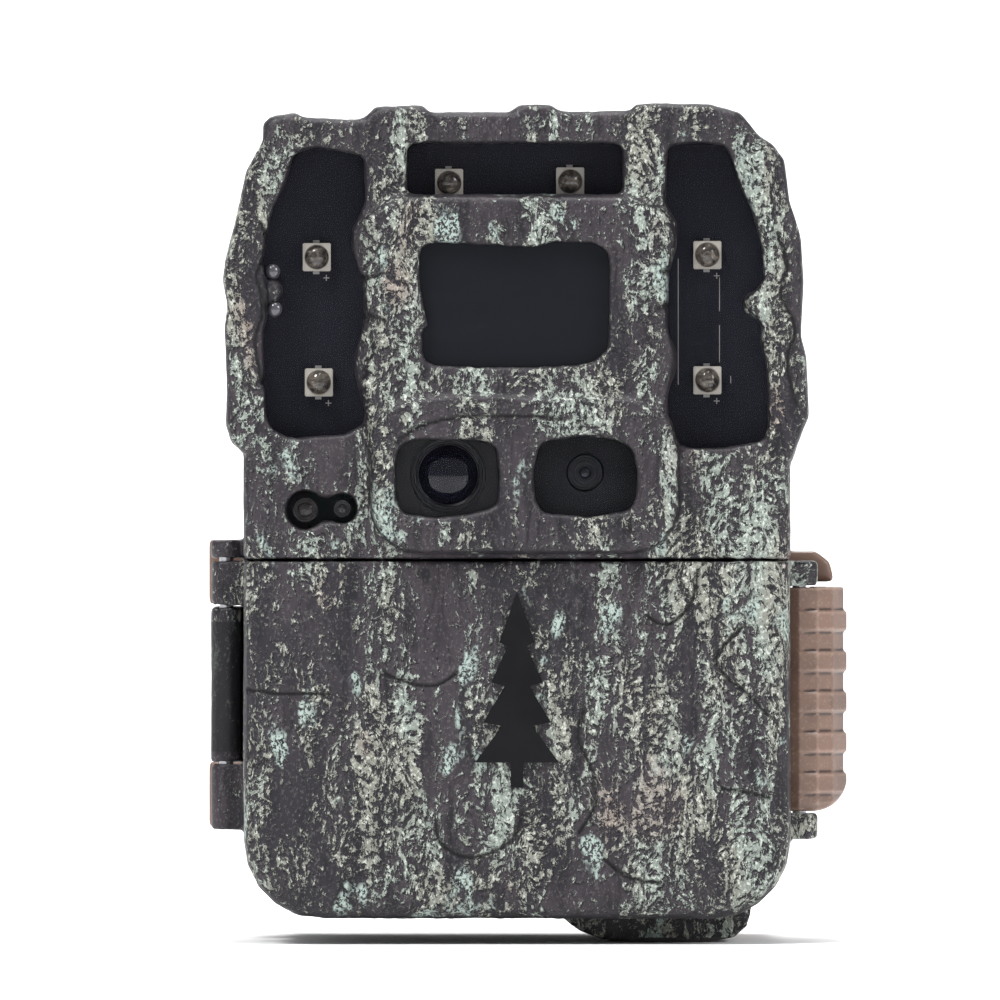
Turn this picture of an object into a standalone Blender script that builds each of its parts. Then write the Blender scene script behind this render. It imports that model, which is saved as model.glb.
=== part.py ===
"""Trail camera: camouflage front housing and door, tan rear shell, electronics and a sliding battery tray.

Sizes are in millimetres and become metres at the end. X runs to the viewer's right, Y to the back, Z up.
The drawing's own zero is the case's centre line, at the floor under the tripod foot. The camera_frame
empty then moves everything so that the middle of the overall box stands at the world's origin.
"""
import math

import bmesh
import bpy
from mathutils import Matrix, Vector

MM = 0.001

# ---------------------------------------------------------------- driving sizes, millimetres
CASE_WIDTH = 78.0            # lower case and door, side to side
CASE_HEIGHT = 116.3          # from the case's underside to the top of the head
FOOT_DROP = 3.7              # the tripod foot hangs this far below the case's underside
DOOR_HEIGHT = 51.0           # from the case's underside to the seam under the head
CASE_CORNER = 11.0           # radius of the lower corners
HEAD_CORNER = 10.0           # radius of the upper corners behind the light frame
HEAD_INSET = 1.0             # the case is narrower by this on each side behind the light frame
DOOR_DEPTH = 14.0
HOUSING_DEPTH = 14.7         # front housing behind the door
UPPER_REAR_DEPTH = 22.6      # rear shell behind the head
WALL = 2.4
FRONT_WALL = 3.0             # moulded front face of the head
SHELL_DROP = 3.0             # the shells end this far below the top of the light frame
BAY_FRONT_WALL = 1.4         # plastic round the battery bay: in front, behind and on the left
BAY_BACK_WALL = 1.7
BAY_SIDE_WALL = 4.05
BAY_RIB = 1.8                # wall between the battery bay and the power jack
GAP = 0.3                    # clearance between neighbouring pieces
GASKET = 0.8                 # compressed thickness of the case gasket
SCREW_RADIUS = 1.4

FRAME_PROUD = 0.5            # light frame in front of the case's face
CENTRE_PROUD = 2.0           # centre frame in front of the case's face
HOOD_PROUD = 3.0             # lens hood in front of the case's face
PANE = 1.1                   # thickness of the clear and dark panes

CELL_RADIUS = 7.1
CELL_LENGTH = 49.2
CELL_NUB = 1.2
CELL_COLUMNS = 3
TRAY_WALL = 1.4
TRAY_FLOOR = 3.2
SPRING_ROOM = 2.0            # between a cell and the contact board

HINGE_RADIUS = 2.2
PIN_RADIUS = 1.0
STRIP_PROUD = 0.6            # the rear shell's ribs stand this far out past the hinge knuckles
LATCH_BARREL = 1.9
LATCH_REACH = 6.4            # from the latch's pivot to its outer face
RIB_HEIGHT = 0.45
RIB_COUNT = 5

KEY_RADIUS = 2.6
KEY_TRAVEL = 0.8
KEY_PITCH = 7.5
KEY_STEM = 1.9               # a key's flange and stem, behind the block's front
SWITCH_TRAVEL = 6.0
BLOCK_PROUD = 7.3            # raised control block in front of the panel plate
CARD_SIZE = (24.0, 2.1, 32.0)
CARD_GRIP = 4.0              # the card's end that stands out of its slot
LED_SIZE = 4.0
LED_HEIGHT = 1.5
LED_DOME = 1.65
BOARD_ROOM = 3.1             # from the light covers to the board behind them
BOARD_THICK = 1.2
THREAD_RADIUS = 3.0          # 1/4-20 tripod thread, minor radius
INSERT_RADIUS = 4.5
INSERT_LENGTH = 9.0
FOOT_WIDTH = 24.5
FOOT_CENTRE = 21.3
STRAP_SLOT = (5.0, 28.0)     # depth and height of the strap slots
RAIL_WIDTH = 5.0
RAIL_SPACING = 40.0

# ---------------------------------------------------------------- places that follow from them
BASE_Z = FOOT_DROP
SEAM_Z = BASE_Z + DOOR_HEIGHT + GAP
TOP_Z = BASE_Z + CASE_HEIGHT
SHELL_TOP = TOP_Z - SHELL_DROP
HALF = CASE_WIDTH / 2
PART_Y = -2.0
SEAM_Y = PART_Y - HOUSING_DEPTH
DOOR_BACK = SEAM_Y - GAP
FACE_Y = DOOR_BACK - DOOR_DEPTH
REAR_Y = PART_Y + GASKET + 2 * GAP
BAY_WIDTH = CELL_COLUMNS * (2 * CELL_RADIUS + GAP) + 2 * TRAY_WALL + 4 * GAP
BAY_DEPTH = 2 * (2 * CELL_RADIUS + GAP) + 3 * GAP
BAY_FRONT = REAR_Y + BAY_FRONT_WALL
BAY_BACK = BAY_FRONT + BAY_DEPTH
BAY_LEFT = -HALF + BAY_SIDE_WALL
BAY_RIGHT = BAY_LEFT + BAY_WIDTH
BAY_CENTRE = (BAY_LEFT + BAY_RIGHT) / 2
BACK_Y = BAY_BACK + BAY_BACK_WALL
UPPER_BACK_Y = REAR_Y + UPPER_REAR_DEPTH
HINGE_X = -(HALF + HINGE_RADIUS + 0.4)
HINGE_Y = SEAM_Y - 2.3
LATCH_X = HALF + 1.4
LATCH_Y = SEAM_Y - 4.7
BEZEL_Z = SEAM_Z + 13.0
PANEL_Y = SEAM_Y
BLOCK_Y = PANEL_Y - BLOCK_PROUD
BLOCK_BOTTOM = SEAM_Z - 37.0
BLOCK_TOP = SEAM_Z - 5.6
BLOCK_HALF = HALF - 5.4

# the light frame and its windows are drawn on this head: its width, its height above the seam, its centre
DRAWN_WIDTH = 78.0
DRAWN_HEIGHT = 65.0
DRAWN_CENTRE = -0.3


def on_head(x, z):
    """A point drawn on the head: x from its drawn centre line, z above the seam."""
    across = (x - DRAWN_CENTRE) * CASE_WIDTH / DRAWN_WIDTH
    up = SEAM_Z + z * (TOP_Z - SEAM_Z) / DRAWN_HEIGHT
    return across, up


def outline_on_head(points):
    return [on_head(x, z) for x, z in points]


LIGHT_FRAME = outline_on_head([
    (-39.2, 15.1), (-41.0, 16.7), (-41.8, 19.2), (-41.6, 23.8), (-42.0, 33.1), (-41.6, 36.1), (-42.2, 39.6),
    (-41.9, 42.3), (-40.2, 49.2), (-38.9, 55.2), (-36.6, 59.6), (-36.5, 62.1), (-35.5, 63.0), (-31.9, 63.7),
    (-30.9, 63.0), (-23.5, 62.6), (-21.9, 63.0), (-20.4, 64.4), (-13.8, 64.7), (-12.7, 63.7), (-1.3, 63.7),
    (0.0, 64.8), (4.4, 64.8), (6.0, 63.8), (15.5, 63.8), (16.8, 64.8), (18.8, 65.0), (27.2, 64.8),
    (31.5, 63.7), (34.2, 60.3), (36.3, 59.0), (37.8, 56.9), (38.5, 50.9), (40.2, 45.7), (40.6, 39.8),
    (40.2, 31.8), (40.9, 28.8), (41.3, 20.4), (40.5, 18.4), (38.8, 13.7)])
HEAD_CAVITY = outline_on_head([
    (-36.3, 2.6), (-36.3, 14.0), (-38.0, 17.6), (-39.3, 21.0), (-39.6, 41.0), (-38.3, 47.5), (-36.5, 54.5),
    (-34.5, 58.6), (-33.6, 61.2), (31.4, 61.2), (33.1, 59.0), (35.8, 56.0), (36.2, 50.0), (38.2, 40.0),
    (38.0, 30.0), (38.7, 24.0), (38.3, 18.5), (36.3, 14.0), (36.3, 2.6)])
CENTRE_FRAME = outline_on_head([
    (-20.0, 10.0), (-21.6, 20.0), (-22.0, 26.0), (-20.6, 30.0), (-21.6, 35.0), (-22.0, 39.0), (-20.8, 44.0),
    (-22.0, 48.5), (-17.5, 51.6), (15.5, 51.6), (20.6, 49.6), (22.2, 46.0), (20.9, 40.0), (21.0, 33.0),
    (22.2, 29.0), (20.9, 23.0), (21.4, 17.0), (19.6, 10.0)])
LEFT_WINDOW = outline_on_head([
    (-32.1, 57.7), (-29.1, 58.7), (-25.5, 58.1), (-22.1, 57.4), (-21.9, 50.9), (-23.8, 47.0), (-23.8, 44.3),
    (-22.2, 38.3), (-22.1, 34.2), (-23.5, 28.8), (-23.5, 26.5), (-21.9, 21.1), (-22.2, 19.2), (-24.8, 17.8),
    (-32.6, 17.2), (-35.3, 18.4), (-36.1, 20.5), (-36.5, 32.1), (-35.9, 35.3), (-36.5, 43.2), (-35.2, 50.0),
    (-33.2, 54.0)])
RIGHT_WINDOW = outline_on_head([
    (21.2, 59.0), (25.2, 59.3), (29.4, 59.0), (30.2, 57.1), (31.5, 53.0), (33.2, 49.7), (34.5, 44.3),
    (34.9, 39.8), (32.2, 36.5), (34.5, 33.5), (34.5, 30.9), (35.3, 27.9), (35.5, 19.0), (34.8, 16.8),
    (28.8, 15.8), (24.2, 15.8), (22.2, 16.5), (21.1, 20.1), (21.2, 23.7), (22.4, 26.9), (22.4, 29.8),
    (21.2, 32.4), (21.4, 40.6), (22.5, 44.6), (22.5, 47.9), (20.8, 50.9)])
TOP_WINDOW = outline_on_head([
    (-16.0, 52.0), (-16.0, 58.6), (-15.3, 59.3), (14.1, 59.3), (14.8, 58.6), (14.8, 52.0)])
MOTION_WINDOW = outline_on_head([
    (-14.0, 44.5), (-11.7, 45.0), (0.6, 44.3), (2.9, 44.3), (4.3, 45.0), (10.8, 44.9), (12.7, 43.6),
    (12.8, 40.2), (12.4, 29.8), (10.3, 27.9), (1.3, 27.4), (-6.8, 27.4), (-13.5, 27.9), (-13.8, 32.8),
    (-12.8, 33.1), (-13.5, 36.2), (-14.0, 39.1)])
MAIN_LENS_OPENING = outline_on_head([
    (-16.7, 16.5), (-13.3, 17.1), (-10.4, 16.7), (-7.3, 17.0), (-4.1, 16.5), (-3.3, 16.0), (-2.9, 12.1),
    (-3.0, 8.4), (-3.3, 7.4), (-8.3, 6.3), (-13.5, 6.1), (-16.7, 6.6), (-17.5, 9.0), (-17.5, 14.3)])
SECOND_LENS_OPENING = outline_on_head([
    (2.1, 11.8), (3.0, 16.4), (9.0, 17.4), (14.0, 16.8), (16.1, 15.5), (16.7, 11.8), (16.5, 8.8),
    (15.7, 7.0), (9.5, 6.1), (3.3, 6.7), (2.4, 8.4)])
LEFT_COVER = outline_on_head([
    (-37.2, 16.2), (-38.6, 20.6), (-38.9, 40.6), (-37.6, 47.0), (-35.8, 54.2), (-33.9, 58.4), (-33.2, 60.4),
    (-20.3, 60.4), (-20.3, 16.2)])
RIGHT_COVER = outline_on_head([
    (19.3, 14.8), (19.3, 60.4), (31.0, 60.4), (32.5, 58.6), (35.0, 55.6), (35.5, 49.6), (37.4, 40.0),
    (37.3, 30.0), (37.9, 24.0), (37.6, 18.5), (36.0, 14.8)])
TOP_COVER = outline_on_head([(-18.6, 50.6), (-18.6, 60.4), (17.6, 60.4), (17.6, 50.6)])
LIGHT_BOARD = outline_on_head([
    (-36.6, 16.8), (-37.8, 21.0), (-38.0, 40.6), (-36.6, 47.0), (-34.9, 54.0), (-32.9, 58.4), (-32.4, 60.0),
    (30.4, 60.0), (31.8, 58.0), (34.3, 55.0), (34.9, 49.4), (36.6, 40.0), (36.4, 30.0), (37.0, 24.0),
    (36.6, 18.5), (35.6, 15.4), (20.2, 15.4), (20.2, 50.0), (-20.8, 50.0), (-20.8, 16.8)])
LED_PLACES = {
    "left_upper": on_head(-28.9, 43.1), "left_lower": on_head(-28.6, 25.2),
    "top_left": on_head(-10.0, 53.7), "top_right": on_head(7.3, 53.9),
    "right_upper": on_head(26.9, 43.4), "right_lower": on_head(26.9, 25.5)}
MAIN_LENS = on_head(-10.1, 12.0)
SECOND_LENS = on_head(9.4, 12.3)
MOTION_SENSOR = on_head(-0.6, 36.2)
LIGHT_SENSOR = on_head(-30.5, 7.0)
STATUS_LED = on_head(-25.2, 7.2)
MICROPHONE = on_head(28.2, 7.3)
MOTION_POCKET = ((-16.0, 15.0), (25.4, 47.0))
MAIN_LENS_POCKET = ((-19.3, -1.3), (4.4, 18.8))
SECOND_LENS_POCKET = ((0.5, 18.7), (4.4, 18.8))
LENS_SEAT_Y = FACE_Y - 1.0
COVER_Y = FACE_Y + FRONT_WALL + GAP
SENSOR_PANE = (FACE_Y + 0.3, FACE_Y + 2.0)
SENSOR_RADIUS = 2.9
STATUS_RADIUS = 2.2
SENSOR_BRIDGE = 3.9


# ---------------------------------------------------------------- shapes
def prism(outline, front, back):
    """A solid with an outline in X and Z, running in Y from front to back."""
    shape = bmesh.new()
    near = [shape.verts.new((x, front, z)) for x, z in outline]
    far = [shape.verts.new((x, back, z)) for x, z in outline]
    shape.faces.new(near)
    shape.faces.new(far)
    for first in range(len(outline)):
        second = (first + 1) % len(outline)
        shape.faces.new((near[first], near[second], far[second], far[first]))
    bmesh.ops.recalc_face_normals(shape, faces=shape.faces)
    return shape


def column(outline, bottom, top):
    """A solid with an outline in X and Y, running in Z from bottom to top."""
    return stacked([(bottom, outline), (top, outline)])


def stacked(sections):
    """A solid through sections of equal length, each a height and an outline in X and Y."""
    shape = bmesh.new()
    rings = [[shape.verts.new((x, y, z)) for x, y in outline] for z, outline in sections]
    shape.faces.new(rings[0])
    shape.faces.new(rings[-1])
    for low, high in zip(rings, rings[1:]):
        for first in range(len(low)):
            second = (first + 1) % len(low)
            shape.faces.new((low[first], low[second], high[second], high[first]))
    bmesh.ops.recalc_face_normals(shape, faces=shape.faces)
    return shape


def box(x_pair, y_pair, z_pair):
    corners = [(x_pair[0], z_pair[0]), (x_pair[1], z_pair[0]), (x_pair[1], z_pair[1]), (x_pair[0], z_pair[1])]
    return prism(corners, *y_pair)


def turned(centre, axis, profile, sides=20):
    """A round solid. The profile lists (distance along the axis, radius) from one end to the other."""
    shape = bmesh.new()
    rings = []
    for distance, radius in profile:
        ring = []
        for step in range(sides):
            angle = 2 * math.pi * step / sides
            across = centre[0] + radius * math.cos(angle)
            other = centre[1] + radius * math.sin(angle)
            place = (across, distance, other) if axis == "Y" else (across, other, distance)
            ring.append(shape.verts.new(place))
        rings.append(ring)
    shape.faces.new(rings[0])
    shape.faces.new(rings[-1])
    for low, high in zip(rings, rings[1:]):
        for first in range(sides):
            second = (first + 1) % sides
            shape.faces.new((low[first], low[second], high[second], high[first]))
    bmesh.ops.recalc_face_normals(shape, faces=shape.faces)
    return shape


def rod(centre, axis, radius, start, end, sides=20):
    return turned(centre, axis, [(start, radius), (end, radius)], sides)


def soften(shape, y, width, steps=2):
    """Bevels the edges that lie in the plane at y."""
    edges = [edge for edge in shape.edges
             if all(abs(corner.co.y - y) < 0.001 for corner in edge.verts)]
    bmesh.ops.bevel(shape, geom=edges, offset=width, segments=steps, profile=0.5,
                    affect="EDGES", clamp_overlap=True)
    return shape


def rounded(x_pair, z_pair, radius, steps=4):
    """A rectangle's outline with round corners."""
    centres = [(x_pair[1] - radius, z_pair[1] - radius, 0), (x_pair[0] + radius, z_pair[1] - radius, 1),
               (x_pair[0] + radius, z_pair[0] + radius, 2), (x_pair[1] - radius, z_pair[0] + radius, 3)]
    points = []
    for x, z, quarter in centres:
        for step in range(steps + 1):
            angle = math.pi / 2 * (quarter + step / steps)
            points.append((x + radius * math.cos(angle), z + radius * math.sin(angle)))
    return points


def case_outline(inset=0.0, bottom=BASE_Z, top=TOP_Z - 2.0, square_top=False):
    """The case seen from the front, with its round lower corners and narrower head."""
    wide = HALF - inset
    narrow = HALF - HEAD_INSET - inset
    low = max(CASE_CORNER - inset, 1.0)
    high = max(HEAD_CORNER - inset, 1.0)
    base = bottom + inset
    roof = top - inset
    points = []
    for step in range(6):
        angle = math.pi * (1 + step / 10)
        points.append((-wide + low + low * math.cos(angle), base + low + low * math.sin(angle)))
    for step in range(6):
        angle = math.pi * (1.5 + step / 10)
        points.append((wide - low + low * math.cos(angle), base + low + low * math.sin(angle)))
    if square_top:
        return points + [(wide, roof), (-wide, roof)]
    points.append((wide, BEZEL_Z))
    points.append((narrow, BEZEL_Z + 4))
    for step in range(5):
        angle = math.pi * step / 8
        points.append((narrow - high + high * math.cos(angle), roof - high + high * math.sin(angle)))
    for step in range(5):
        angle = math.pi * (0.5 + step / 8)
        points.append((-narrow + high + high * math.cos(angle), roof - high + high * math.sin(angle)))
    points.append((-narrow, BEZEL_Z + 4))
    points.append((-wide, BEZEL_Z))
    return points


# ---------------------------------------------------------------- solids
PIECES = []


def finish_material(name, colour, roughness, metallic=0.0, alpha=1.0):
    material = bpy.data.materials.get(name) or bpy.data.materials.new(name)
    material.use_nodes = True
    surface = material.node_tree.nodes["Principled BSDF"]
    surface.inputs["Base Color"].default_value = (*colour, 1.0)
    surface.inputs["Roughness"].default_value = roughness
    surface.inputs["Metallic"].default_value = metallic
    surface.inputs["Alpha"].default_value = alpha
    return material


CAMO = finish_material("camouflage_plastic", (0.075, 0.068, 0.070), 0.55)
TAN = finish_material("tan_plastic", (0.28, 0.19, 0.15), 0.5)
BLACK = finish_material("black_plastic", (0.02, 0.02, 0.022), 0.5)
RUBBER = finish_material("black_rubber", (0.03, 0.03, 0.03), 0.85)
CLEAR = finish_material("clear_pane", (0.05, 0.05, 0.06), 0.05, alpha=0.35)
DARK_PANE = finish_material("dark_pane", (0.012, 0.012, 0.018), 0.1)
BOARD = finish_material("circuit_board", (0.015, 0.05, 0.03), 0.5)
BLACK_BOARD = finish_material("black_board", (0.012, 0.012, 0.015), 0.5)
CERAMIC = finish_material("led_ceramic", (0.52, 0.46, 0.38), 0.4)
STEEL = finish_material("steel", (0.55, 0.55, 0.56), 0.3, 1.0)
BRASS = finish_material("brass", (0.75, 0.55, 0.25), 0.3, 1.0)
GLASS = finish_material("lens_glass", (0.02, 0.02, 0.04), 0.03)
CELL = finish_material("cell_wrap", (0.08, 0.09, 0.10), 0.35)


def new_solid(name, shape, material):
    """Makes an object from a shape, still in millimetres."""
    mesh = bpy.data.meshes.new(name)
    shape.to_mesh(mesh)
    shape.free()
    mesh.materials.append(material)
    thing = bpy.data.objects.new(name, mesh)
    bpy.context.collection.objects.link(thing)
    return thing


def work(target, shape, operation):
    """Adds, cuts or intersects a shape with a solid, and removes the tool."""
    tool = new_solid("tool", shape, target.data.materials[0])
    step = target.modifiers.new("work", "BOOLEAN")
    step.operation = operation
    step.solver = "EXACT"
    step.object = tool
    bpy.context.view_layer.update()
    seen = target.evaluated_get(bpy.context.evaluated_depsgraph_get())
    result = bpy.data.meshes.new_from_object(seen)
    target.modifiers.clear()
    target.data = result
    bpy.data.objects.remove(tool)
    return target


def add(target, shape):
    return work(target, shape, "UNION")


def cut(target, shape):
    return work(target, shape, "DIFFERENCE")


def keep(target, shape):
    return work(target, shape, "INTERSECT")


def piece(name, shape, material, pivot=(0.0, 0.0, 0.0), smooth=False):
    """Registers a finished piece with the point that it moves about."""
    thing = shape if isinstance(shape, bpy.types.Object) else new_solid(name, shape, material)
    thing.name = name
    thing["pivot"] = pivot
    thing["round"] = smooth
    PIECES.append(thing)
    return thing


# ---------------------------------------------------------------- front housing
POST_PLACES = [(-(HALF - 5.0), TOP_Z - 11.0), (HALF - 5.0, TOP_Z - 11.0),
               (-(HALF - 5.0), BEZEL_Z + 6.0), (HALF - 5.0, BEZEL_Z + 6.0)]
POST_RADIUS = 3.0
HINGE_LEVELS = {"cap": (SEAM_Z + 0.1, SEAM_Z + 2.6), "door_top": (SEAM_Z - 6.6, SEAM_Z - 0.3),
                "middle": (SEAM_Z - 29.1, SEAM_Z - 6.9), "door_bottom": (SEAM_Z - 38.8, SEAM_Z - 29.4)}


def foot_outline():
    """The round foot under the case: a shallow lobe that holds the tripod thread."""
    half = FOOT_WIDTH / 2
    left = FOOT_CENTRE - half
    right = FOOT_CENTRE + half
    return [(left - 3.0, BASE_Z + 3), (left - 3.0, BASE_Z + 0.2), (left, 1.6), (left + 3.0, 0.5),
            (left + 6.5, 0.0), (right - 6.0, 0.0), (right - 2.5, 0.7), (right - 0.6, 2.2),
            (right, BASE_Z + 0.4), (right, BASE_Z + 3)]


def knuckle(levels):
    """A hinge knuckle round the pin."""
    return rod((HINGE_X, HINGE_Y), "Z", HINGE_RADIUS, *levels, 16)


def front_housing():
    lower = prism(case_outline(), SEAM_Y, PART_Y)
    body = new_solid("front_housing", lower, CAMO)
    under = SEAM_Z - 3.0
    head = [(-HALF, under), (HALF, under), (HALF, BEZEL_Z + 8), (-HALF, BEZEL_Z + 8)]
    add(body, soften(prism(head, FACE_Y, SEAM_Y + 1), FACE_Y, 2.0))
    cut(body, box((-HALF - 1, HALF + 1), (FACE_Y - 1, SEAM_Y), (under - 1, SEAM_Z)))
    add(body, soften(prism(LIGHT_FRAME, FACE_Y - FRAME_PROUD, SEAM_Y + 5.0), FACE_Y - FRAME_PROUD, 0.6, 1))
    add(body, prism(CENTRE_FRAME, FACE_Y - CENTRE_PROUD, FACE_Y + 2))
    low_left = on_head(-21.2, 0.8)
    high_right = on_head(22.9, 23.4)
    hood = rounded((low_left[0], high_right[0]), (low_left[1], high_right[1]), 7.0, 5)
    add(body, soften(prism(hood, FACE_Y - HOOD_PROUD, FACE_Y + 2.4), FACE_Y - HOOD_PROUD, 1.2))
    add(body, prism(foot_outline(), SEAM_Y, PART_Y))
    cut(body, prism(case_outline(WALL, top=SHELL_TOP), SEAM_Y + FRONT_WALL, PART_Y + 1))
    cut(body, prism(HEAD_CAVITY, FACE_Y + FRONT_WALL, SEAM_Y + FRONT_WALL + 0.5))
    panel = HALF - 4.8
    cut(body, box((-panel, panel), (SEAM_Y - 1, SEAM_Y + 5), (BASE_Z + 4.9, SEAM_Z - 2.4)))
    recess = panel + 1.1
    cut(body, box((-recess, recess), (SEAM_Y - 1, PANEL_Y + 2.3), (BASE_Z + 3.8, SEAM_Z - 1.2)))
    for outline in (LEFT_WINDOW, RIGHT_WINDOW, TOP_WINDOW, MOTION_WINDOW, MAIN_LENS_OPENING,
                    SECOND_LENS_OPENING):
        cut(body, prism(outline, FACE_Y - 9, FACE_Y + FRONT_WALL + 0.5))
    cut(body, pocket(*MOTION_POCKET, FACE_Y))
    cut(body, pocket(*MAIN_LENS_POCKET, LENS_SEAT_Y))
    cut(body, pocket(*SECOND_LENS_POCKET, LENS_SEAT_Y))
    cut(body, rod(LIGHT_SENSOR, "Y", SENSOR_RADIUS, FACE_Y - 5, FACE_Y + 4))
    cut(body, rod(STATUS_LED, "Y", STATUS_RADIUS, FACE_Y - 5, FACE_Y + 4))
    cut(body, sensor_bridge(0.0, FACE_Y - 5, FACE_Y + 4))
    cut(body, rod(MICROPHONE, "Y", 0.5, FACE_Y - 5, FACE_Y + 4, 10))
    for place in POST_PLACES:
        add(body, rod(place, "Y", POST_RADIUS, SEAM_Y + 1.2, PART_Y, 14))
        cut(body, rod(place, "Y", SCREW_RADIUS + GAP, PART_Y - 9, PART_Y + 1, 10))
    cut(body, rod((FOOT_CENTRE, foot_middle()), "Z", INSERT_RADIUS + GAP, -1, INSERT_LENGTH + 0.9, 16))
    for levels in (HINGE_LEVELS["cap"], HINGE_LEVELS["middle"]):
        add(body, knuckle(levels))
        add(body, box((HINGE_X - HINGE_RADIUS, HINGE_X + HINGE_RADIUS - 0.1), (HINGE_Y, SEAM_Y + 1), levels))
        add(body, box((HINGE_X - HINGE_RADIUS, -HALF + 1.0), (SEAM_Y + 0.4, PART_Y - 4), levels))
    low, high = HINGE_LEVELS["middle"]
    cut(body, box((HINGE_X + 0.4, -HALF + 0.2), (SEAM_Y - 2, SEAM_Y + 2), (low + 1.6, high - 2)))
    cut(body, rod((HINGE_X, HINGE_Y), "Z", PIN_RADIUS + GAP, BASE_Z, SEAM_Z + 1.6, 12))
    piece("front_housing", body, CAMO)


def foot_middle():
    """Y of the tripod thread, in the middle of the front housing."""
    return (SEAM_Y + PART_Y) / 2


def pocket(x_pair, z_pair, front):
    """A rectangular seat for a pane, cut from the inside of the front wall."""
    low = on_head(x_pair[0], z_pair[0])
    high = on_head(x_pair[1], z_pair[1])
    return box((low[0], high[0]), (front, FACE_Y + FRONT_WALL + 0.5), (low[1], high[1]))


# ---------------------------------------------------------------- panes and lights
def panes():
    for name, outline in (("left", LEFT_COVER), ("top", TOP_COVER), ("right", RIGHT_COVER)):
        piece("light_cover_" + name, prism(outline, COVER_Y, COVER_Y + PANE), CLEAR)
    fitted_pane("motion_window", *MOTION_POCKET, FACE_Y, DARK_PANE)
    fitted_pane("main_lens_window", *MAIN_LENS_POCKET, LENS_SEAT_Y, CLEAR)
    fitted_pane("second_lens_window", *SECOND_LENS_POCKET, LENS_SEAT_Y, CLEAR)
    eye = rod(LIGHT_SENSOR, "Y", SENSOR_RADIUS - GAP, *SENSOR_PANE)
    eight = new_solid("sensor_window", eye, CLEAR)
    add(eight, rod(STATUS_LED, "Y", STATUS_RADIUS - GAP, *SENSOR_PANE, 18))
    add(eight, sensor_bridge(GAP, *SENSOR_PANE))
    piece("sensor_window", eight, CLEAR)


def sensor_bridge(inset, front, back):
    """The neck that joins the two round openings of the sensor window."""
    middle = (LIGHT_SENSOR[1] + STATUS_LED[1]) / 2
    half = SENSOR_BRIDGE / 2 - inset
    return box((LIGHT_SENSOR[0], STATUS_LED[0]), (front, back), (middle - half, middle + half))


def fitted_pane(name, x_pair, z_pair, front, material):
    """A pane that sits in its pocket with the usual clearance all round."""
    low = on_head(x_pair[0], z_pair[0])
    high = on_head(x_pair[1], z_pair[1])
    sides = (low[0] + GAP, high[0] - GAP)
    ends = (low[1] + GAP, high[1] - GAP)
    piece(name, prism(rounded(sides, ends, 0.8, 2), front + GAP, front + GAP + PANE), material)


def lights():
    board_y = COVER_Y + PANE + BOARD_ROOM
    piece("light_board", prism(LIGHT_BOARD, board_y, board_y + BOARD_THICK), BLACK_BOARD)
    half = LED_SIZE / 2
    front = board_y - GAP - LED_HEIGHT
    for name, place in LED_PLACES.items():
        x, z = place
        base = box((x - half, x + half), (front, board_y - GAP), (z - half, z + half))
        led = new_solid("led", base, CERAMIC)
        dome = [(front + 0.3, LED_DOME), (front - 0.5, LED_DOME * 0.92), (front - 0.95, LED_DOME * 0.6),
                (front - 1.1, LED_DOME * 0.2)]
        add(led, turned(place, "Y", dome, 14))
        piece("infrared_led_" + name, led, CERAMIC)


# ---------------------------------------------------------------- sensors and cameras
def sensors():
    inner = FACE_Y + FRONT_WALL
    can = [(FACE_Y + 2.0, 4.1), (inner + 3.2, 4.1), (inner + 3.3, 4.7), (inner + 4.0, 4.7)]
    piece("motion_sensor", turned(MOTION_SENSOR, "Y", can), STEEL, smooth=True)
    pane_back = LENS_SEAT_Y + GAP + PANE
    tube = [(pane_back + GAP, 5.3), (pane_back + 4.5, 5.3), (pane_back + 4.6, 4.2), (pane_back + 15.0, 4.2)]
    barrel = new_solid("main_lens_barrel", turned(MAIN_LENS, "Y", tube, 28), BLACK)
    cut(barrel, rod(MAIN_LENS, "Y", 4.3, pane_back - 1, pane_back + 3.4, 28))
    piece("main_lens_barrel", barrel, BLACK, smooth=True)
    glass = [(pane_back + 0.9, 0.8), (pane_back + 1.1, 2.0), (pane_back + 1.8, 3.2), (pane_back + 2.6, 3.9),
             (pane_back + 3.1, 4.0)]
    piece("main_lens_glass", turned(MAIN_LENS, "Y", glass, 28), GLASS, smooth=True)
    sensor_y = pane_back + 15.3
    x, z = MAIN_LENS
    board = box((x - 7, x + 7), (sensor_y, sensor_y + BOARD_THICK), (z - 7, z + 7))
    piece("image_sensor_board", board, BOARD)
    eye = [(pane_back + GAP, 1.2), (pane_back + 1.0, 2.6), (pane_back + 12.0, 2.6)]
    piece("second_camera", turned(SECOND_LENS, "Y", eye), BLACK, smooth=True)
    behind = SENSOR_PANE[1] + GAP
    piece("light_sensor", rod(LIGHT_SENSOR, "Y", 1.8, behind, behind + 4, 16), GLASS, smooth=True)
    piece("status_led", turned(STATUS_LED, "Y", [(behind, 0.6), (behind + 0.8, 1.3), (behind + 4, 1.3)], 14),
          CLEAR, smooth=True)
    piece("microphone", rod(MICROPHONE, "Y", 2.4, inner + GAP, inner + 2.6, 16), STEEL, smooth=True)
    half = HALF - 9.0
    piece("main_board", box((-half, half), (PART_Y - 8.0, PART_Y - 6.4), (SEAM_Z + 4.0, TOP_Z - 8.0)), BOARD)


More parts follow.
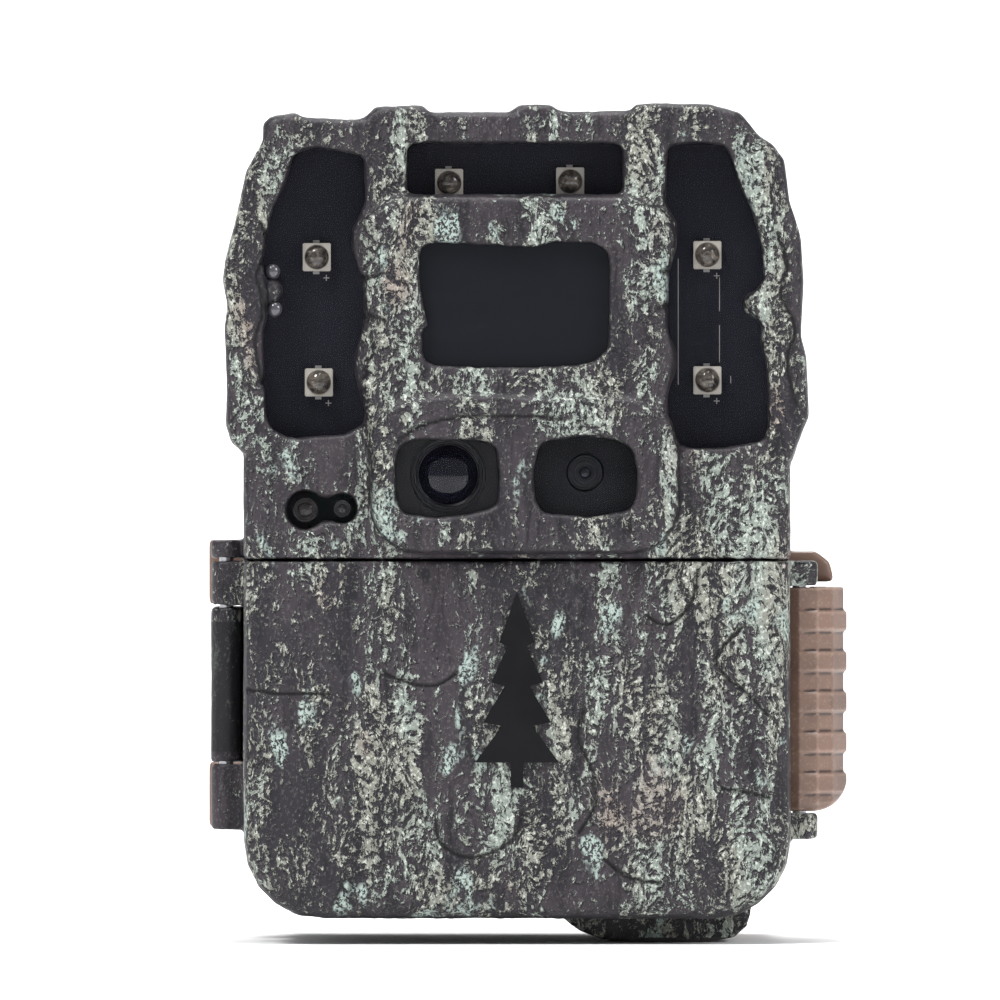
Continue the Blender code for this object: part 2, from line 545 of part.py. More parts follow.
# ---------------------------------------------------------------- control panel behind the door
KEY_CENTRE = (HALF - 19.0, SEAM_Z - 19.4)
KEY_PLACES = {
    "up": (KEY_CENTRE[0], KEY_CENTRE[1] + KEY_PITCH), "down": (KEY_CENTRE[0], KEY_CENTRE[1] - KEY_PITCH),
    "left": (KEY_CENTRE[0] - KEY_PITCH, KEY_CENTRE[1]), "right": (KEY_CENTRE[0] + KEY_PITCH, KEY_CENTRE[1]),
    "enter": KEY_CENTRE, "mode": (KEY_CENTRE[0] + KEY_PITCH + 0.8, KEY_CENTRE[1] + KEY_PITCH + 0.8)}
SWITCH_PLACE = (KEY_CENTRE[0] - SWITCH_TRAVEL / 2, BLOCK_BOTTOM + 4.6)
SWITCH_KNOB = (3.6, 2.4)
DISPLAY_LEFT = -BLOCK_HALF + 3.0
DISPLAY_SIZE = (35.0, 25.0)
BLOCK_SKIN = 1.5
CARD_LEFT = DISPLAY_LEFT + 5.0
CARD_Y = BLOCK_Y + 3.9
CARD_BOTTOM = BLOCK_BOTTOM - CARD_GRIP
KEY_FLANGE_Y = BLOCK_Y + BLOCK_SKIN + GAP


def card_room(bottom, top):
    """The room that a memory card slides in."""
    return box((CARD_LEFT - GAP, CARD_LEFT + CARD_SIZE[0] + GAP), (CARD_Y - GAP, CARD_Y + CARD_SIZE[1] + GAP),
               (bottom, top))


def control_panel():
    half = HALF - 4.0
    plate = box((-half, half), (PANEL_Y, PANEL_Y + 2.0), (BASE_Z + 4.1, SEAM_Z - 1.5))
    panel = new_solid("control_panel", plate, BLACK)
    block = rounded((-BLOCK_HALF, BLOCK_HALF), (BLOCK_BOTTOM, BLOCK_TOP), 2.5, 3)
    add(panel, soften(prism(block, BLOCK_Y, PANEL_Y + 1), BLOCK_Y, 0.8))
    inside = (BLOCK_HALF - BLOCK_SKIN, BLOCK_BOTTOM + BLOCK_SKIN, BLOCK_TOP - BLOCK_SKIN)
    cut(panel, box((-inside[0], inside[0]), (BLOCK_Y + BLOCK_SKIN, PANEL_Y + 3), inside[1:]))
    low = BLOCK_TOP - 3.0 - DISPLAY_SIZE[1]
    opening = rounded((DISPLAY_LEFT, DISPLAY_LEFT + DISPLAY_SIZE[0]), (low, low + DISPLAY_SIZE[1]), 1.0, 2)
    cut(panel, prism(opening, BLOCK_Y - 1, BLOCK_Y + 3))
    for place in KEY_PLACES.values():
        cut(panel, rod(place, "Y", KEY_RADIUS + GAP, BLOCK_Y - 1, BLOCK_Y + 3, 16))
    switch_x, switch_z = SWITCH_PLACE
    side = SWITCH_KNOB[0] / 2 + GAP
    end = SWITCH_KNOB[1] / 2 + GAP
    cut(panel, box((switch_x - side, switch_x + SWITCH_TRAVEL + side), (BLOCK_Y - 1, BLOCK_Y + 3),
                   (switch_z - end, switch_z + end)))
    cut(panel, card_room(BLOCK_BOTTOM - 1, BLOCK_BOTTOM + 3))
    piece("control_panel", panel, BLACK)
    sides = (DISPLAY_LEFT + GAP, DISPLAY_LEFT + DISPLAY_SIZE[0] - GAP)
    ends = (low + GAP, low + DISPLAY_SIZE[1] - GAP)
    piece("display_window", prism(rounded(sides, ends, 0.8, 2), BLOCK_Y + 0.2, BLOCK_Y + 1.2), CLEAR)
    piece("display_module", box(sides, (BLOCK_Y + BLOCK_SKIN + GAP, BLOCK_Y + 3.2), ends), BLACK)
    key_board_y = KEY_FLANGE_Y + KEY_STEM + KEY_TRAVEL + 0.2
    left = KEY_CENTRE[0] - KEY_PITCH - 3.6
    piece("key_board", box((left, BLOCK_HALF - BLOCK_SKIN - GAP), (key_board_y, key_board_y + 1.0),
                           (BLOCK_BOTTOM + 2.0, BLOCK_TOP - 2.0)), BOARD)


def keys():
    for name, place in KEY_PLACES.items():
        flange = KEY_FLANGE_Y
        profile = [(BLOCK_Y - 1.0, KEY_RADIUS - 0.5), (BLOCK_Y - 0.6, KEY_RADIUS), (flange, KEY_RADIUS),
                   (flange + 0.01, KEY_RADIUS + 0.7), (flange + 0.8, KEY_RADIUS + 0.7),
                   (flange + 0.81, 1.0), (flange + KEY_STEM, 1.0)]
        piece("key_" + name, turned(place, "Y", profile, 16), RUBBER, (place[0], BLOCK_Y, place[1]), True)
    knob_x, knob_z = SWITCH_PLACE
    half = SWITCH_KNOB[0] / 2
    tall = SWITCH_KNOB[1] / 2
    knob = new_solid("power_switch", box((knob_x - half, knob_x + half), (BLOCK_Y - 1.2, BLOCK_Y + 2.0),
                                         (knob_z - tall, knob_z + tall)), TAN)
    add(knob, box((knob_x - half - 1.0, knob_x + half + 1.0), (KEY_FLANGE_Y, KEY_FLANGE_Y + 1.0),
                  (knob_z - 2, knob_z + 2)))
    piece("power_switch", knob, TAN, (knob_x, BLOCK_Y, knob_z))


def memory():
    low = BLOCK_BOTTOM + BLOCK_SKIN + 0.4
    left, right = CARD_LEFT, CARD_LEFT + CARD_SIZE[0]
    top = CARD_BOTTOM + CARD_SIZE[2]
    shell = box((left - 1.5, right + 1.5), (CARD_Y - 0.6, CARD_Y + CARD_SIZE[1] + 0.6), (low, top + 1.4))
    socket = new_solid("card_socket", shell, STEEL)
    cut(socket, card_room(low - 1, top + GAP))
    piece("card_socket", socket, STEEL)
    corner = 3.0
    outline = [(left, CARD_BOTTOM), (right, CARD_BOTTOM), (right, top - corner), (right - corner, top),
               (left, top)]
    piece("memory_card", prism(outline, CARD_Y, CARD_Y + CARD_SIZE[1]), BLACK, (left, CARD_Y, CARD_BOTTOM))


# ---------------------------------------------------------------- rear shell
CELL_BOTTOM = BASE_Z + TRAY_FLOOR + 2.0
CELL_TOP = CELL_BOTTOM + CELL_LENGTH + CELL_NUB
BAY_TOP = CELL_TOP + 2 * SPRING_ROOM + 3.4
LOWER_TOP = BAY_TOP + 3.0
JACK_PLACE = ((BAY_RIGHT + BAY_RIB + HALF - WALL) / 2, REAR_Y + 20.0)
JACK_RADIUS = 4.4


def rear_shell():
    outer = soften(prism(case_outline(top=SHELL_TOP), REAR_Y, UPPER_BACK_Y), UPPER_BACK_Y, 2.5)
    shell = new_solid("rear_shell", outer, TAN)
    add(shell, soften(prism(case_outline(top=LOWER_TOP, square_top=True), REAR_Y, BACK_Y), BACK_Y, 3.0))
    inner = HALF - HEAD_INSET - WALL
    shelf = LOWER_TOP + 1.0
    above = [point for point in case_outline(WALL, top=SHELL_TOP) if point[1] > shelf + 0.5]
    cut(shell, prism([(-inner, shelf), (inner, shelf)] + above, REAR_Y - 1, UPPER_BACK_Y - WALL))
    cut(shell, box((BAY_LEFT, BAY_RIGHT), (BAY_FRONT, BAY_BACK), (-5, BAY_TOP)))
    side = rounded((BAY_RIGHT + BAY_RIB, HALF - WALL), (BASE_Z + WALL, LOWER_TOP - WALL), 2.0, 2)
    cut(shell, prism(side, REAR_Y - 1, BACK_Y - WALL))
    cut(shell, rod(JACK_PLACE, "Z", 3.4 + GAP, 0, BASE_Z + 3, 14))
    for x, z in POST_PLACES:
        add(shell, rod((x, z), "Y", POST_RADIUS + 0.4, REAR_Y, UPPER_BACK_Y - 0.6, 14))
        cut(shell, rod((x, z), "Y", SCREW_RADIUS + GAP, REAR_Y - 1, UPPER_BACK_Y + 1, 10))
        cut(shell, rod((x, z), "Y", 2.9, UPPER_BACK_Y - 3.2, UPPER_BACK_Y + 1, 12))
    for side in (-1, 1):
        rail(shell, side)
    hinge_strips(shell)
    catch(shell)
    piece("rear_shell", shell, TAN)


def rail(shell, side):
    """A strap rail on the back, with a slot for 25 mm webbing and notches that bite the bark."""
    centre = side * RAIL_SPACING / 2
    pair = (centre - RAIL_WIDTH / 2, centre + RAIL_WIDTH / 2)
    top = TOP_Z - 10.0
    add(shell, box(pair, (UPPER_BACK_Y - 1, BACK_Y), (LOWER_TOP - 2, top)))
    middle = (LOWER_TOP + top) / 2
    slot_front = UPPER_BACK_Y + 1.2
    cut(shell, box((centre - RAIL_WIDTH, centre + RAIL_WIDTH), (slot_front, slot_front + STRAP_SLOT[0]),
                   (middle - STRAP_SLOT[1] / 2, middle + STRAP_SLOT[1] / 2)))


def hinge_strips(shell):
    """Ribs on the rear shell's left edge, behind the hinge knuckles."""
    edge = HINGE_X - HINGE_RADIUS - STRIP_PROUD
    for levels in ((SEAM_Z - 6.6, SEAM_Z + 2.7), HINGE_LEVELS["door_bottom"]):
        add(shell, box((edge, -HALF + 1.0), (REAR_Y, REAR_Y + 6.0), levels))


def catch(shell):
    """The catch tower that the latch lever closes over."""
    top = SEAM_Z + 1.0
    out = LATCH_X + 0.6
    add(shell, box((HALF - 1.0, out), (REAR_Y, REAR_Y + 3.4), (SEAM_Z - 36.0, SEAM_Z - 5.0)))
    high = LATCH_X + LATCH_REACH - 1.6
    outline = [(HALF - 1.0, SEAM_Z - 3.4), (high + 0.6, SEAM_Z - 3.4), (high, top - 1.6), (high - 2.0, top),
               (HALF - 1.0, top)]
    add(shell, prism(outline, REAR_Y, REAR_Y + 7.0))


def seals_and_screws():
    band = prism(case_outline(0.7, top=SHELL_TOP), PART_Y + GAP, PART_Y + GAP + GASKET)
    ring = new_solid("case_gasket", band, RUBBER)
    cut(ring, prism(case_outline(2.2, top=SHELL_TOP), PART_Y - 1, REAR_Y + 1))
    piece("case_gasket", ring, RUBBER)
    for index, place in enumerate(POST_PLACES):
        head = UPPER_BACK_Y - 1.2
        screw = [(PART_Y - 8.0, SCREW_RADIUS), (head - 1.7, SCREW_RADIUS), (head - 1.69, 2.5),
                 (head - 0.2, 2.5), (head, 2.2)]
        piece("case_screw_%d" % (index + 1), turned(place, "Y", screw, 12), STEEL, smooth=True)
    middle = (FOOT_CENTRE, foot_middle())
    insert = new_solid("tripod_insert", rod(middle, "Z", INSERT_RADIUS, 0.4, INSERT_LENGTH, 16), BRASS)
    cut(insert, rod(middle, "Z", THREAD_RADIUS, -1, INSERT_LENGTH - 1.0, 16))
    piece("tripod_insert", insert, BRASS, smooth=True)


def power_port():
    bottom = BASE_Z + WALL + 0.2
    jack = new_solid("power_jack", rod(JACK_PLACE, "Z", JACK_RADIUS, bottom, bottom + 10, 16), BLACK)
    cut(jack, rod(JACK_PLACE, "Z", 3.2, bottom - 1, bottom + 8, 14))
    piece("power_jack", jack, BLACK, smooth=True)
    plug = [(BASE_Z - 1.6, 4.2), (BASE_Z - 1.2, 4.8), (BASE_Z - GAP, 4.8), (BASE_Z - GAP + 0.01, 2.7),
            (bottom + 4.0, 2.7), (bottom + 5.0, 1.9)]
    piece("port_plug", turned(JACK_PLACE, "Z", plug, 16), RUBBER, (*JACK_PLACE, BASE_Z), True)


# ---------------------------------------------------------------- battery tray
def cell_places():
    places = []
    pitch = 2 * CELL_RADIUS + GAP
    middle = (BAY_FRONT + BAY_BACK) / 2
    for column_index in range(CELL_COLUMNS):
        x = BAY_CENTRE + (column_index - (CELL_COLUMNS - 1) / 2) * pitch
        for row in (-0.5, 0.5):
            places.append((x, middle + row * pitch))
    return places


def battery_tray():
    left, right = BAY_LEFT + GAP, BAY_RIGHT - GAP
    front, back = BAY_FRONT + GAP, BAY_BACK - GAP
    top = CELL_TOP + SPRING_ROOM + 1.6
    tray = new_solid("battery_tray", box((left, right), (front, back), (BASE_Z, top)), BLACK)
    inner_left, inner_right = left + TRAY_WALL, right - TRAY_WALL
    room = (CELL_BOTTOM - 1.5, CELL_TOP + SPRING_ROOM)
    cut(tray, box((inner_left, inner_right), (front - 1, back + 1), room))
    cut(tray, box((BAY_CENTRE - 9, BAY_CENTRE + 9), (back - 4, back + 1), (BASE_Z - 1, BASE_Z + 1.6)))
    keep(tray, prism(case_outline(), front - 1, back + 1))
    piece("battery_tray", tray, BLACK, (BAY_CENTRE, front, BASE_Z))
    for index, place in enumerate(cell_places()):
        profile = [(CELL_BOTTOM, CELL_RADIUS - 0.6), (CELL_BOTTOM + 0.4, CELL_RADIUS),
                   (CELL_TOP - CELL_NUB - 0.5, CELL_RADIUS), (CELL_TOP - CELL_NUB, CELL_RADIUS - 0.7),
                   (CELL_TOP - CELL_NUB + 0.01, 2.7), (CELL_TOP, 2.6)]
        piece("aa_cell_%d" % (index + 1), turned(place, "Z", profile, 16), CELL, smooth=True)
    plate = box((left + 2, right - 2), (front + 2, back - 2), (top + 0.5, BAY_TOP - GAP))
    piece("battery_contact_board", plate, BOARD)


# ---------------------------------------------------------------- door, hinge and latch
LUG_LEVELS = ((BASE_Z + 11.3, BASE_Z + 14.9), (SEAM_Z - 3.8, SEAM_Z - 0.3))
LEVER_LEVELS = (LUG_LEVELS[0][1] + GAP, LUG_LEVELS[1][0] - GAP)


def door():
    top = SEAM_Z - GAP
    outer = case_outline(top=top + 4.0, square_top=True)
    leaf = new_solid("door", soften(prism(outer, FACE_Y, DOOR_BACK), FACE_Y, 3.0, 3), CAMO)
    cut(leaf, box((-HALF - 1, HALF + 1), (FACE_Y - 1, DOOR_BACK + 1), (top, top + 5.0)))
    cut(leaf, prism(case_outline(WALL, top=top, square_top=True), FACE_Y + 2.2, DOOR_BACK + 1))
    for levels in (HINGE_LEVELS["door_top"], HINGE_LEVELS["door_bottom"]):
        add(leaf, knuckle(levels))
        add(leaf, box((HINGE_X, -HALF + 1.0), (HINGE_Y - HINGE_RADIUS, HINGE_Y + 1.0), levels))
        cut(leaf, rod((HINGE_X, HINGE_Y), "Z", PIN_RADIUS + GAP, levels[0] - 1, levels[1] + 0.5, 12))
    bottom, top_end = LEVER_LEVELS
    cut(leaf, box((HALF - 1.0, HALF + 1), (LATCH_Y - 3.0, DOOR_BACK + 1), (bottom - GAP, top_end + GAP)))
    for levels in LUG_LEVELS:
        reach = LATCH_X + 2.6
        lug = [(HALF - 1.0, LATCH_Y - 3.0), (reach - 1.4, LATCH_Y - 3.0), (reach, LATCH_Y - 1.6),
               (reach, LATCH_Y + 2.2), (HALF - 1.0, LATCH_Y + 2.2)]
        add(leaf, column(lug, *levels))
    cut(leaf, rod((LATCH_X, LATCH_Y), "Z", PIN_RADIUS + GAP, LUG_LEVELS[0][0] + 1, LUG_LEVELS[1][1] - 1, 12))
    piece("door", leaf, CAMO, (HINGE_X, HINGE_Y, BASE_Z))
    seal_front = DOOR_BACK - 2.0
    band = prism(case_outline(WALL + GAP, top=top, square_top=True), seal_front, DOOR_BACK - 0.2)
    seal = new_solid("door_gasket", band, RUBBER)
    cut(seal, prism(case_outline(WALL + GAP + 1.6, top=top, square_top=True), seal_front - 1, DOOR_BACK + 1))
    piece("door_gasket", seal, RUBBER, (HINGE_X, HINGE_Y, BASE_Z))
    ends = (HINGE_LEVELS["door_bottom"][0] + 0.2, HINGE_LEVELS["cap"][0] + 1.1)
    piece("hinge_pin", rod((HINGE_X, HINGE_Y), "Z", PIN_RADIUS, *ends, 12), STEEL, smooth=True)


def emblem():
    """A plain fir tree as a thin black badge on the door: a trunk under four tiers of branches."""
    base = BASE_Z + 18.7
    tiers = 4
    tier_height = 7.2
    right = [(0.9, 0.0), (0.9, 3.6)]
    for tier in range(tiers):
        spread = 6.0 - 1.15 * tier
        low = 3.6 + tier * 5.7
        right.append((spread, low))
        right.append((spread * 0.36, low + tier_height * 0.72))
    tip = 3.6 + (tiers - 1) * 5.7 + tier_height
    right = right[:-1] + [(0.0, tip)]
    left = [(-x, z) for x, z in reversed(right[:-1])]
    outline = [(x, base + z) for x, z in right + left]
    piece("emblem", prism(outline, FACE_Y - 0.7, FACE_Y - GAP), BLACK, (HINGE_X, HINGE_Y, BASE_Z))


def lever_section(rise):
    """The latch lever from above: a barrel round the pin, a faceted cover and a hook at the back."""
    out = LATCH_REACH + rise
    hook = REAR_Y + 3.9 - LATCH_Y
    barrel = LATCH_BARREL
    points = [(-barrel, 0.3), (-barrel * 0.75, -barrel * 0.65), (0.0, -barrel - rise * 0.3),
              (2.6, -1.5 - rise), (4.8, 0.3 - rise), (out, 3.6), (out, hook), (out - 1.4, hook + 2.2),
              (1.9, hook + 1.8), (1.9, hook + 0.4), (out - 2.2, hook), (out - 2.2, 4.4), (2.4, 2.2),
              (-1.0, 1.6)]
    return [(LATCH_X + x, LATCH_Y + y) for x, y in points]


def latch():
    bottom, top = LEVER_LEVELS
    pitch = (top - bottom - 3.0) / RIB_COUNT
    sections = [(bottom, lever_section(-0.6)), (bottom + 1.2, lever_section(0.0))]
    for index in range(RIB_COUNT):
        low = bottom + 2.4 + index * pitch
        sections.append((low, lever_section(0.0)))
        sections.append((low + 0.35, lever_section(RIB_HEIGHT)))
        sections.append((low + pitch * 0.55 - 0.35, lever_section(RIB_HEIGHT)))
        sections.append((low + pitch * 0.55, lever_section(0.0)))
    sections.append((top, lever_section(0.0)))
    lever = new_solid("latch_lever", stacked(sections), TAN)
    cut(lever, rod((LATCH_X, LATCH_Y), "Z", PIN_RADIUS + GAP, bottom - 1, top + 1, 12))
    pivot = (LATCH_X, LATCH_Y, bottom)
    piece("latch_lever", lever, TAN, pivot)
    ends = (LUG_LEVELS[0][0] + 1.3, LUG_LEVELS[1][1] - 1.3)
    piece("latch_pin", rod((LATCH_X, LATCH_Y), "Z", PIN_RADIUS, *ends, 12), STEEL, pivot, True)


# ---------------------------------------------------------------- build
def settle_in_frame():
    """Moves every piece to metres, on its own pivot, under one empty at the middle of the overall box."""
    corners = [thing.matrix_world @ Vector(corner) for thing in PIECES for corner in thing.bound_box]
    middle_x = (min(c.x for c in corners) + max(c.x for c in corners)) / 2
    middle_y = (min(c.y for c in corners) + max(c.y for c in corners)) / 2
    low = min(c.z for c in corners)
    frame = bpy.data.objects.new("camera_frame", None)
    frame.location = Vector((-middle_x, -middle_y, -low)) * MM
    bpy.context.collection.objects.link(frame)
    for thing in PIECES:
        pivot = Vector(thing["pivot"])
        thing.data.transform(Matrix.Scale(MM, 4) @ Matrix.Translation(-pivot))
        thing.location = pivot * MM
        thing.parent = frame
        if thing["round"]:
            thing.data.shade_smooth()
            thing.data.set_sharp_from_angle(angle=math.radians(35))
    bpy.context.view_layer.update()


for old in list(bpy.data.objects):
    bpy.data.objects.remove(old)
front_housing()
panes()
lights()
sensors()
control_panel()
keys()
memory()
rear_shell()
seals_and_screws()
power_port()
battery_tray()
door()
emblem()
latch()
settle_in_frame()
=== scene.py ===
"""Looks of the trail camera, section by section in the order in which the camera is put together."""
import math

import bmesh
import bpy
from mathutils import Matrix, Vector


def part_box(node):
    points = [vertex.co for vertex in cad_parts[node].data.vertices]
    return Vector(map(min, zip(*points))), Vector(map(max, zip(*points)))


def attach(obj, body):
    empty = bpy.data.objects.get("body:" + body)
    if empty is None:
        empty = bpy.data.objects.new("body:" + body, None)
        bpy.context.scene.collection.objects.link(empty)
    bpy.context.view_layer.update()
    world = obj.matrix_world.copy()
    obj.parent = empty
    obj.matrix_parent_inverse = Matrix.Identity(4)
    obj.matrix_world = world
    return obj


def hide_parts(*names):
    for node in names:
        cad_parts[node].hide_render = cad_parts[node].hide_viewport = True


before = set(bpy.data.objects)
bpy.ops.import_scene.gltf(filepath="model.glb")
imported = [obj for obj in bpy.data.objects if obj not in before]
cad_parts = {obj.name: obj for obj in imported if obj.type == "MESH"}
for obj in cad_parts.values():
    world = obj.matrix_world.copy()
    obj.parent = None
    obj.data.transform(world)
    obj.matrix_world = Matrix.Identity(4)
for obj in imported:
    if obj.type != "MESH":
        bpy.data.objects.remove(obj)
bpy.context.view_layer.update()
MM = 0.001

# ---- Table, lights and viewpoint ----
# The camera stands on a white table that curves up behind it, under soft boxes and a pale sky.
# It is seen square on from the front, from far enough away that its sides don't show.
view_distance = 2.4
view_width = 142.5 * MM
view_middle = (-3.85 * MM, 63.4 * MM)
case_middle = -1.45 * MM
face_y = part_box("door")[0][1]

sweep = bmesh.new()
sweep_half = 3.0
sweep_radius = 0.8
sweep_front, sweep_back, sweep_top = -4.0, 2.2, 4.0
profile = [(sweep_front, 0.0), (sweep_back - sweep_radius, 0.0)]
for step in range(1, 17):
    turn = math.pi / 2 * step / 16
    profile.append((sweep_back - sweep_radius + sweep_radius * math.sin(turn),
                    sweep_radius - sweep_radius * math.cos(turn)))
profile.append((sweep_back, sweep_top))
rows = [[sweep.verts.new((x, y, z)) for x in (-sweep_half, sweep_half)] for y, z in profile]
for near, far in zip(rows, rows[1:]):
    sweep.faces.new((near[0], near[1], far[1], far[0]))
sweep_mesh = bpy.data.meshes.new("table_sweep")
sweep.to_mesh(sweep_mesh)
sweep_mesh.shade_smooth()
table = bpy.data.objects.new("table_sweep", sweep_mesh)
bpy.context.collection.objects.link(table)
white_paper = bpy.data.materials.new("white_paper")
white_paper.use_nodes = True
paper = white_paper.node_tree.nodes["Principled BSDF"].inputs
paper["Base Color"].default_value = (0.92, 0.92, 0.92, 1)
paper["Roughness"].default_value = 0.9
sweep_mesh.materials.append(white_paper)

sky = bpy.data.worlds.new("pale_sky")
sky.use_nodes = True
background = sky.node_tree.nodes["Background"].inputs
background["Color"].default_value = (0.95, 0.97, 1.0, 1)
background["Strength"].default_value = 0.48
bpy.context.scene.world = sky


def soft_box(name, place, size, power, aim=(0, 0, 0.06)):
    """A square area light that faces the middle of the camera, or another point."""
    light = bpy.data.lights.new(name, "AREA")
    light.size = size
    light.energy = power
    lamp = bpy.data.objects.new(name, light)
    lamp.location = place
    lamp.rotation_euler = (Vector(aim) - Vector(place)).to_track_quat("-Z", "Y").to_euler()
    bpy.context.collection.objects.link(lamp)


soft_box("key_light", (-0.75, -0.85, 1.6), 0.5, 29)
soft_box("fill_light", (1.3, -0.9, 0.9), 0.7, 13)
soft_box("top_light", (0.1, -0.1, 1.5), 0.6, 19)
soft_box("back_light", (0.0, 1.1, 1.9), 1.2, 30, (0.0, 2.2, 0.6))

optics = bpy.data.cameras.new("viewpoint")
optics.type = "PERSP"
optics.lens = optics.sensor_width * view_distance / view_width
optics.clip_end = 20
viewpoint = bpy.data.objects.new("viewpoint", optics)
viewpoint.location = (view_middle[0], face_y - view_distance, view_middle[1])
viewpoint.rotation_euler = (math.pi / 2, 0, 0)
bpy.context.collection.objects.link(viewpoint)
bpy.context.scene.camera = viewpoint
bpy.context.scene.view_settings.view_transform = "Standard"


# ---- Rear shell ----
# The tan half of the case that stands against the tree: injection-moulded ABS with a fine spark-eroded
# grain. It holds the battery bay and the strap rails, and its catch tower takes the latch.
def new_piece(name, shape):
    """A bmesh as a new object at the origin."""
    mesh = bpy.data.meshes.new(name)
    shape.to_mesh(mesh)
    shape.free()
    thing = bpy.data.objects.new(name, mesh)
    bpy.context.collection.objects.link(thing)
    return thing


def cad_copy(node, name):
    """A CAD node's shape as a new piece, with its corners joined and its flat faces whole."""
    shape = bmesh.new()
    shape.from_mesh(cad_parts[node].data)
    shape.transform(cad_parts[node].matrix_world)
    bmesh.ops.remove_doubles(shape, verts=shape.verts, dist=1e-6)
    bmesh.ops.dissolve_limit(shape, angle_limit=math.radians(0.5), verts=shape.verts, edges=shape.edges)
    return new_piece(name, shape)


def settle(thing):
    """Makes what the modifiers show into a plain mesh."""
    bpy.context.view_layer.update()
    seen = thing.evaluated_get(bpy.context.evaluated_depsgraph_get())
    result = bpy.data.meshes.new_from_object(seen)
    thing.modifiers.clear()
    thing.data = result


def round_over(thing, voxel, smoothing=3, faces=None):
    """Rounds every edge a little, as a mould or a tumbler does."""
    remesh = thing.modifiers.new("rounding", "REMESH")
    remesh.mode = "VOXEL"
    remesh.voxel_size = voxel
    remesh.use_smooth_shade = True
    ease = thing.modifiers.new("ease", "SMOOTH")
    ease.factor = 0.5
    ease.iterations = smoothing
    settle(thing)
    thin_out(thing, faces)
    thing.data.shade_smooth()


def thin_out(thing, faces):
    """Leaves at most about this many triangles."""
    count = sum(len(face.vertices) - 2 for face in thing.data.polygons)
    if faces and count > faces:
        thin = thing.modifiers.new("thin", "DECIMATE")
        thin.ratio = faces / count
        settle(thing)


def finished(thing, material, body, nodes=()):
    """The last steps for a piece: its material, the body it moves with and the nodes it stands for."""
    if material:
        thing.data.materials.clear()
        thing.data.materials.append(material)
    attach(thing, body)
    if nodes:
        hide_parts(*nodes)


def coat(material, *nodes):
    """Gives CAD nodes a material."""
    for node in nodes:
        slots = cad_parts[node].data.materials
        slots.clear()
        slots.append(material)


def feed(tree, node, inputs):
    """Gives a node's inputs their values, or joins them to sockets."""
    for name, value in inputs.items():
        if isinstance(value, bpy.types.NodeSocket):
            tree.links.new(value, node.inputs[name])
        else:
            node.inputs[name].default_value = value


def add_node(tree, kind, inputs=None, **settings):
    """A node with its settings and its inputs."""
    made = tree.nodes.new(kind)
    for name, value in settings.items():
        setattr(made, name, value)
    feed(tree, made, inputs or {})
    return made


def maths(tree, operation, *values):
    """One step of arithmetic."""
    return add_node(tree, "ShaderNodeMath", dict(enumerate(values)), operation=operation).outputs[0]


def scaled(tree, vector, scale, offset=(0, 0, 0)):
    """A vector multiplied by a scale for each axis, then moved."""
    return add_node(tree, "ShaderNodeVectorMath", {0: vector, 1: scale, 2: offset},
                    operation="MULTIPLY_ADD").outputs[0]


def noise(tree, vector, detail=2.0, roughness=0.5, distortion=0.0):
    """Cloud noise of one unit, 0 to 1."""
    return add_node(tree, "ShaderNodeTexNoise", {"Vector": vector, "Scale": 1.0, "Detail": detail,
                                                 "Roughness": roughness, "Distortion": distortion}).outputs[0]


def step_up(tree, value, low, high):
    """0 below low, 1 above high, smooth between."""
    return add_node(tree, "ShaderNodeMapRange", {"Value": value, "From Min": low, "From Max": high},
                    interpolation_type="SMOOTHSTEP").outputs["Result"]


def blend(tree, share, first, second):
    """A mix of two colours, each a colour or a socket."""
    first, second = [(*colour, 1) if isinstance(colour, tuple) else colour for colour in (first, second)]
    return add_node(tree, "ShaderNodeMix", {0: share, 6: first, 7: second}, data_type="RGBA").outputs[2]


def blank(name):
    """A new material, its tree, its surface and the place on the object."""
    material = bpy.data.materials.new(name)
    material.use_nodes = True
    tree = material.node_tree
    place = tree.nodes.new("ShaderNodeTexCoord").outputs["Object"]
    return material, tree, tree.nodes["Principled BSDF"], place


def axes(tree, place):
    """A place's X, Y and Z."""
    return add_node(tree, "ShaderNodeSeparateXYZ", {0: place}).outputs


def raise_bump(tree, surface, height, depth, strength=1.0):
    """Fine relief on a surface."""
    bump = add_node(tree, "ShaderNodeBump", {"Strength": strength, "Distance": depth, "Height": height})
    tree.links.new(bump.outputs[0], surface.inputs["Normal"])


def moulded_plastic(name, colour, roughness=0.48, grain=2600, depth=0.02 * MM, mottle=0.12,
                    metallic=0.0, shine=0.5):
    """Plastic, rubber or plain metal: slightly uneven colour, handling wear and a fine grain."""
    material, tree, surface, place = blank(name)
    clouds = noise(tree, scaled(tree, place, (120, 120, 120)), 3.0, 0.6)
    fine = noise(tree, scaled(tree, place, (grain, grain, grain)), 2.0, 0.6)
    darker = tuple(channel * (1 - mottle) for channel in colour)
    lighter = tuple(min(channel * (1 + mottle) + 0.002, 1.0) for channel in colour)
    tone = blend(tree, step_up(tree, clouds, 0.3, 0.7), darker, lighter)
    feed(tree, surface, {"Base Color": blend(tree, maths(tree, "MULTIPLY", fine, 0.25), tone, darker),
                         "Roughness": maths(tree, "MULTIPLY_ADD", clouds, 0.14, roughness - 0.07),
                         "Metallic": metallic, "Specular IOR Level": shine})
    raise_bump(tree, surface, fine, depth, 0.6)
    return material


TAN = moulded_plastic("tan_plastic", (0.160, 0.097, 0.071), 0.34)
rear = cad_copy("rear_shell", "rear_shell_moulding")
round_over(rear, 0.5 * MM, 3, 130000)
finished(rear, TAN, "housing", ["rear_shell"])

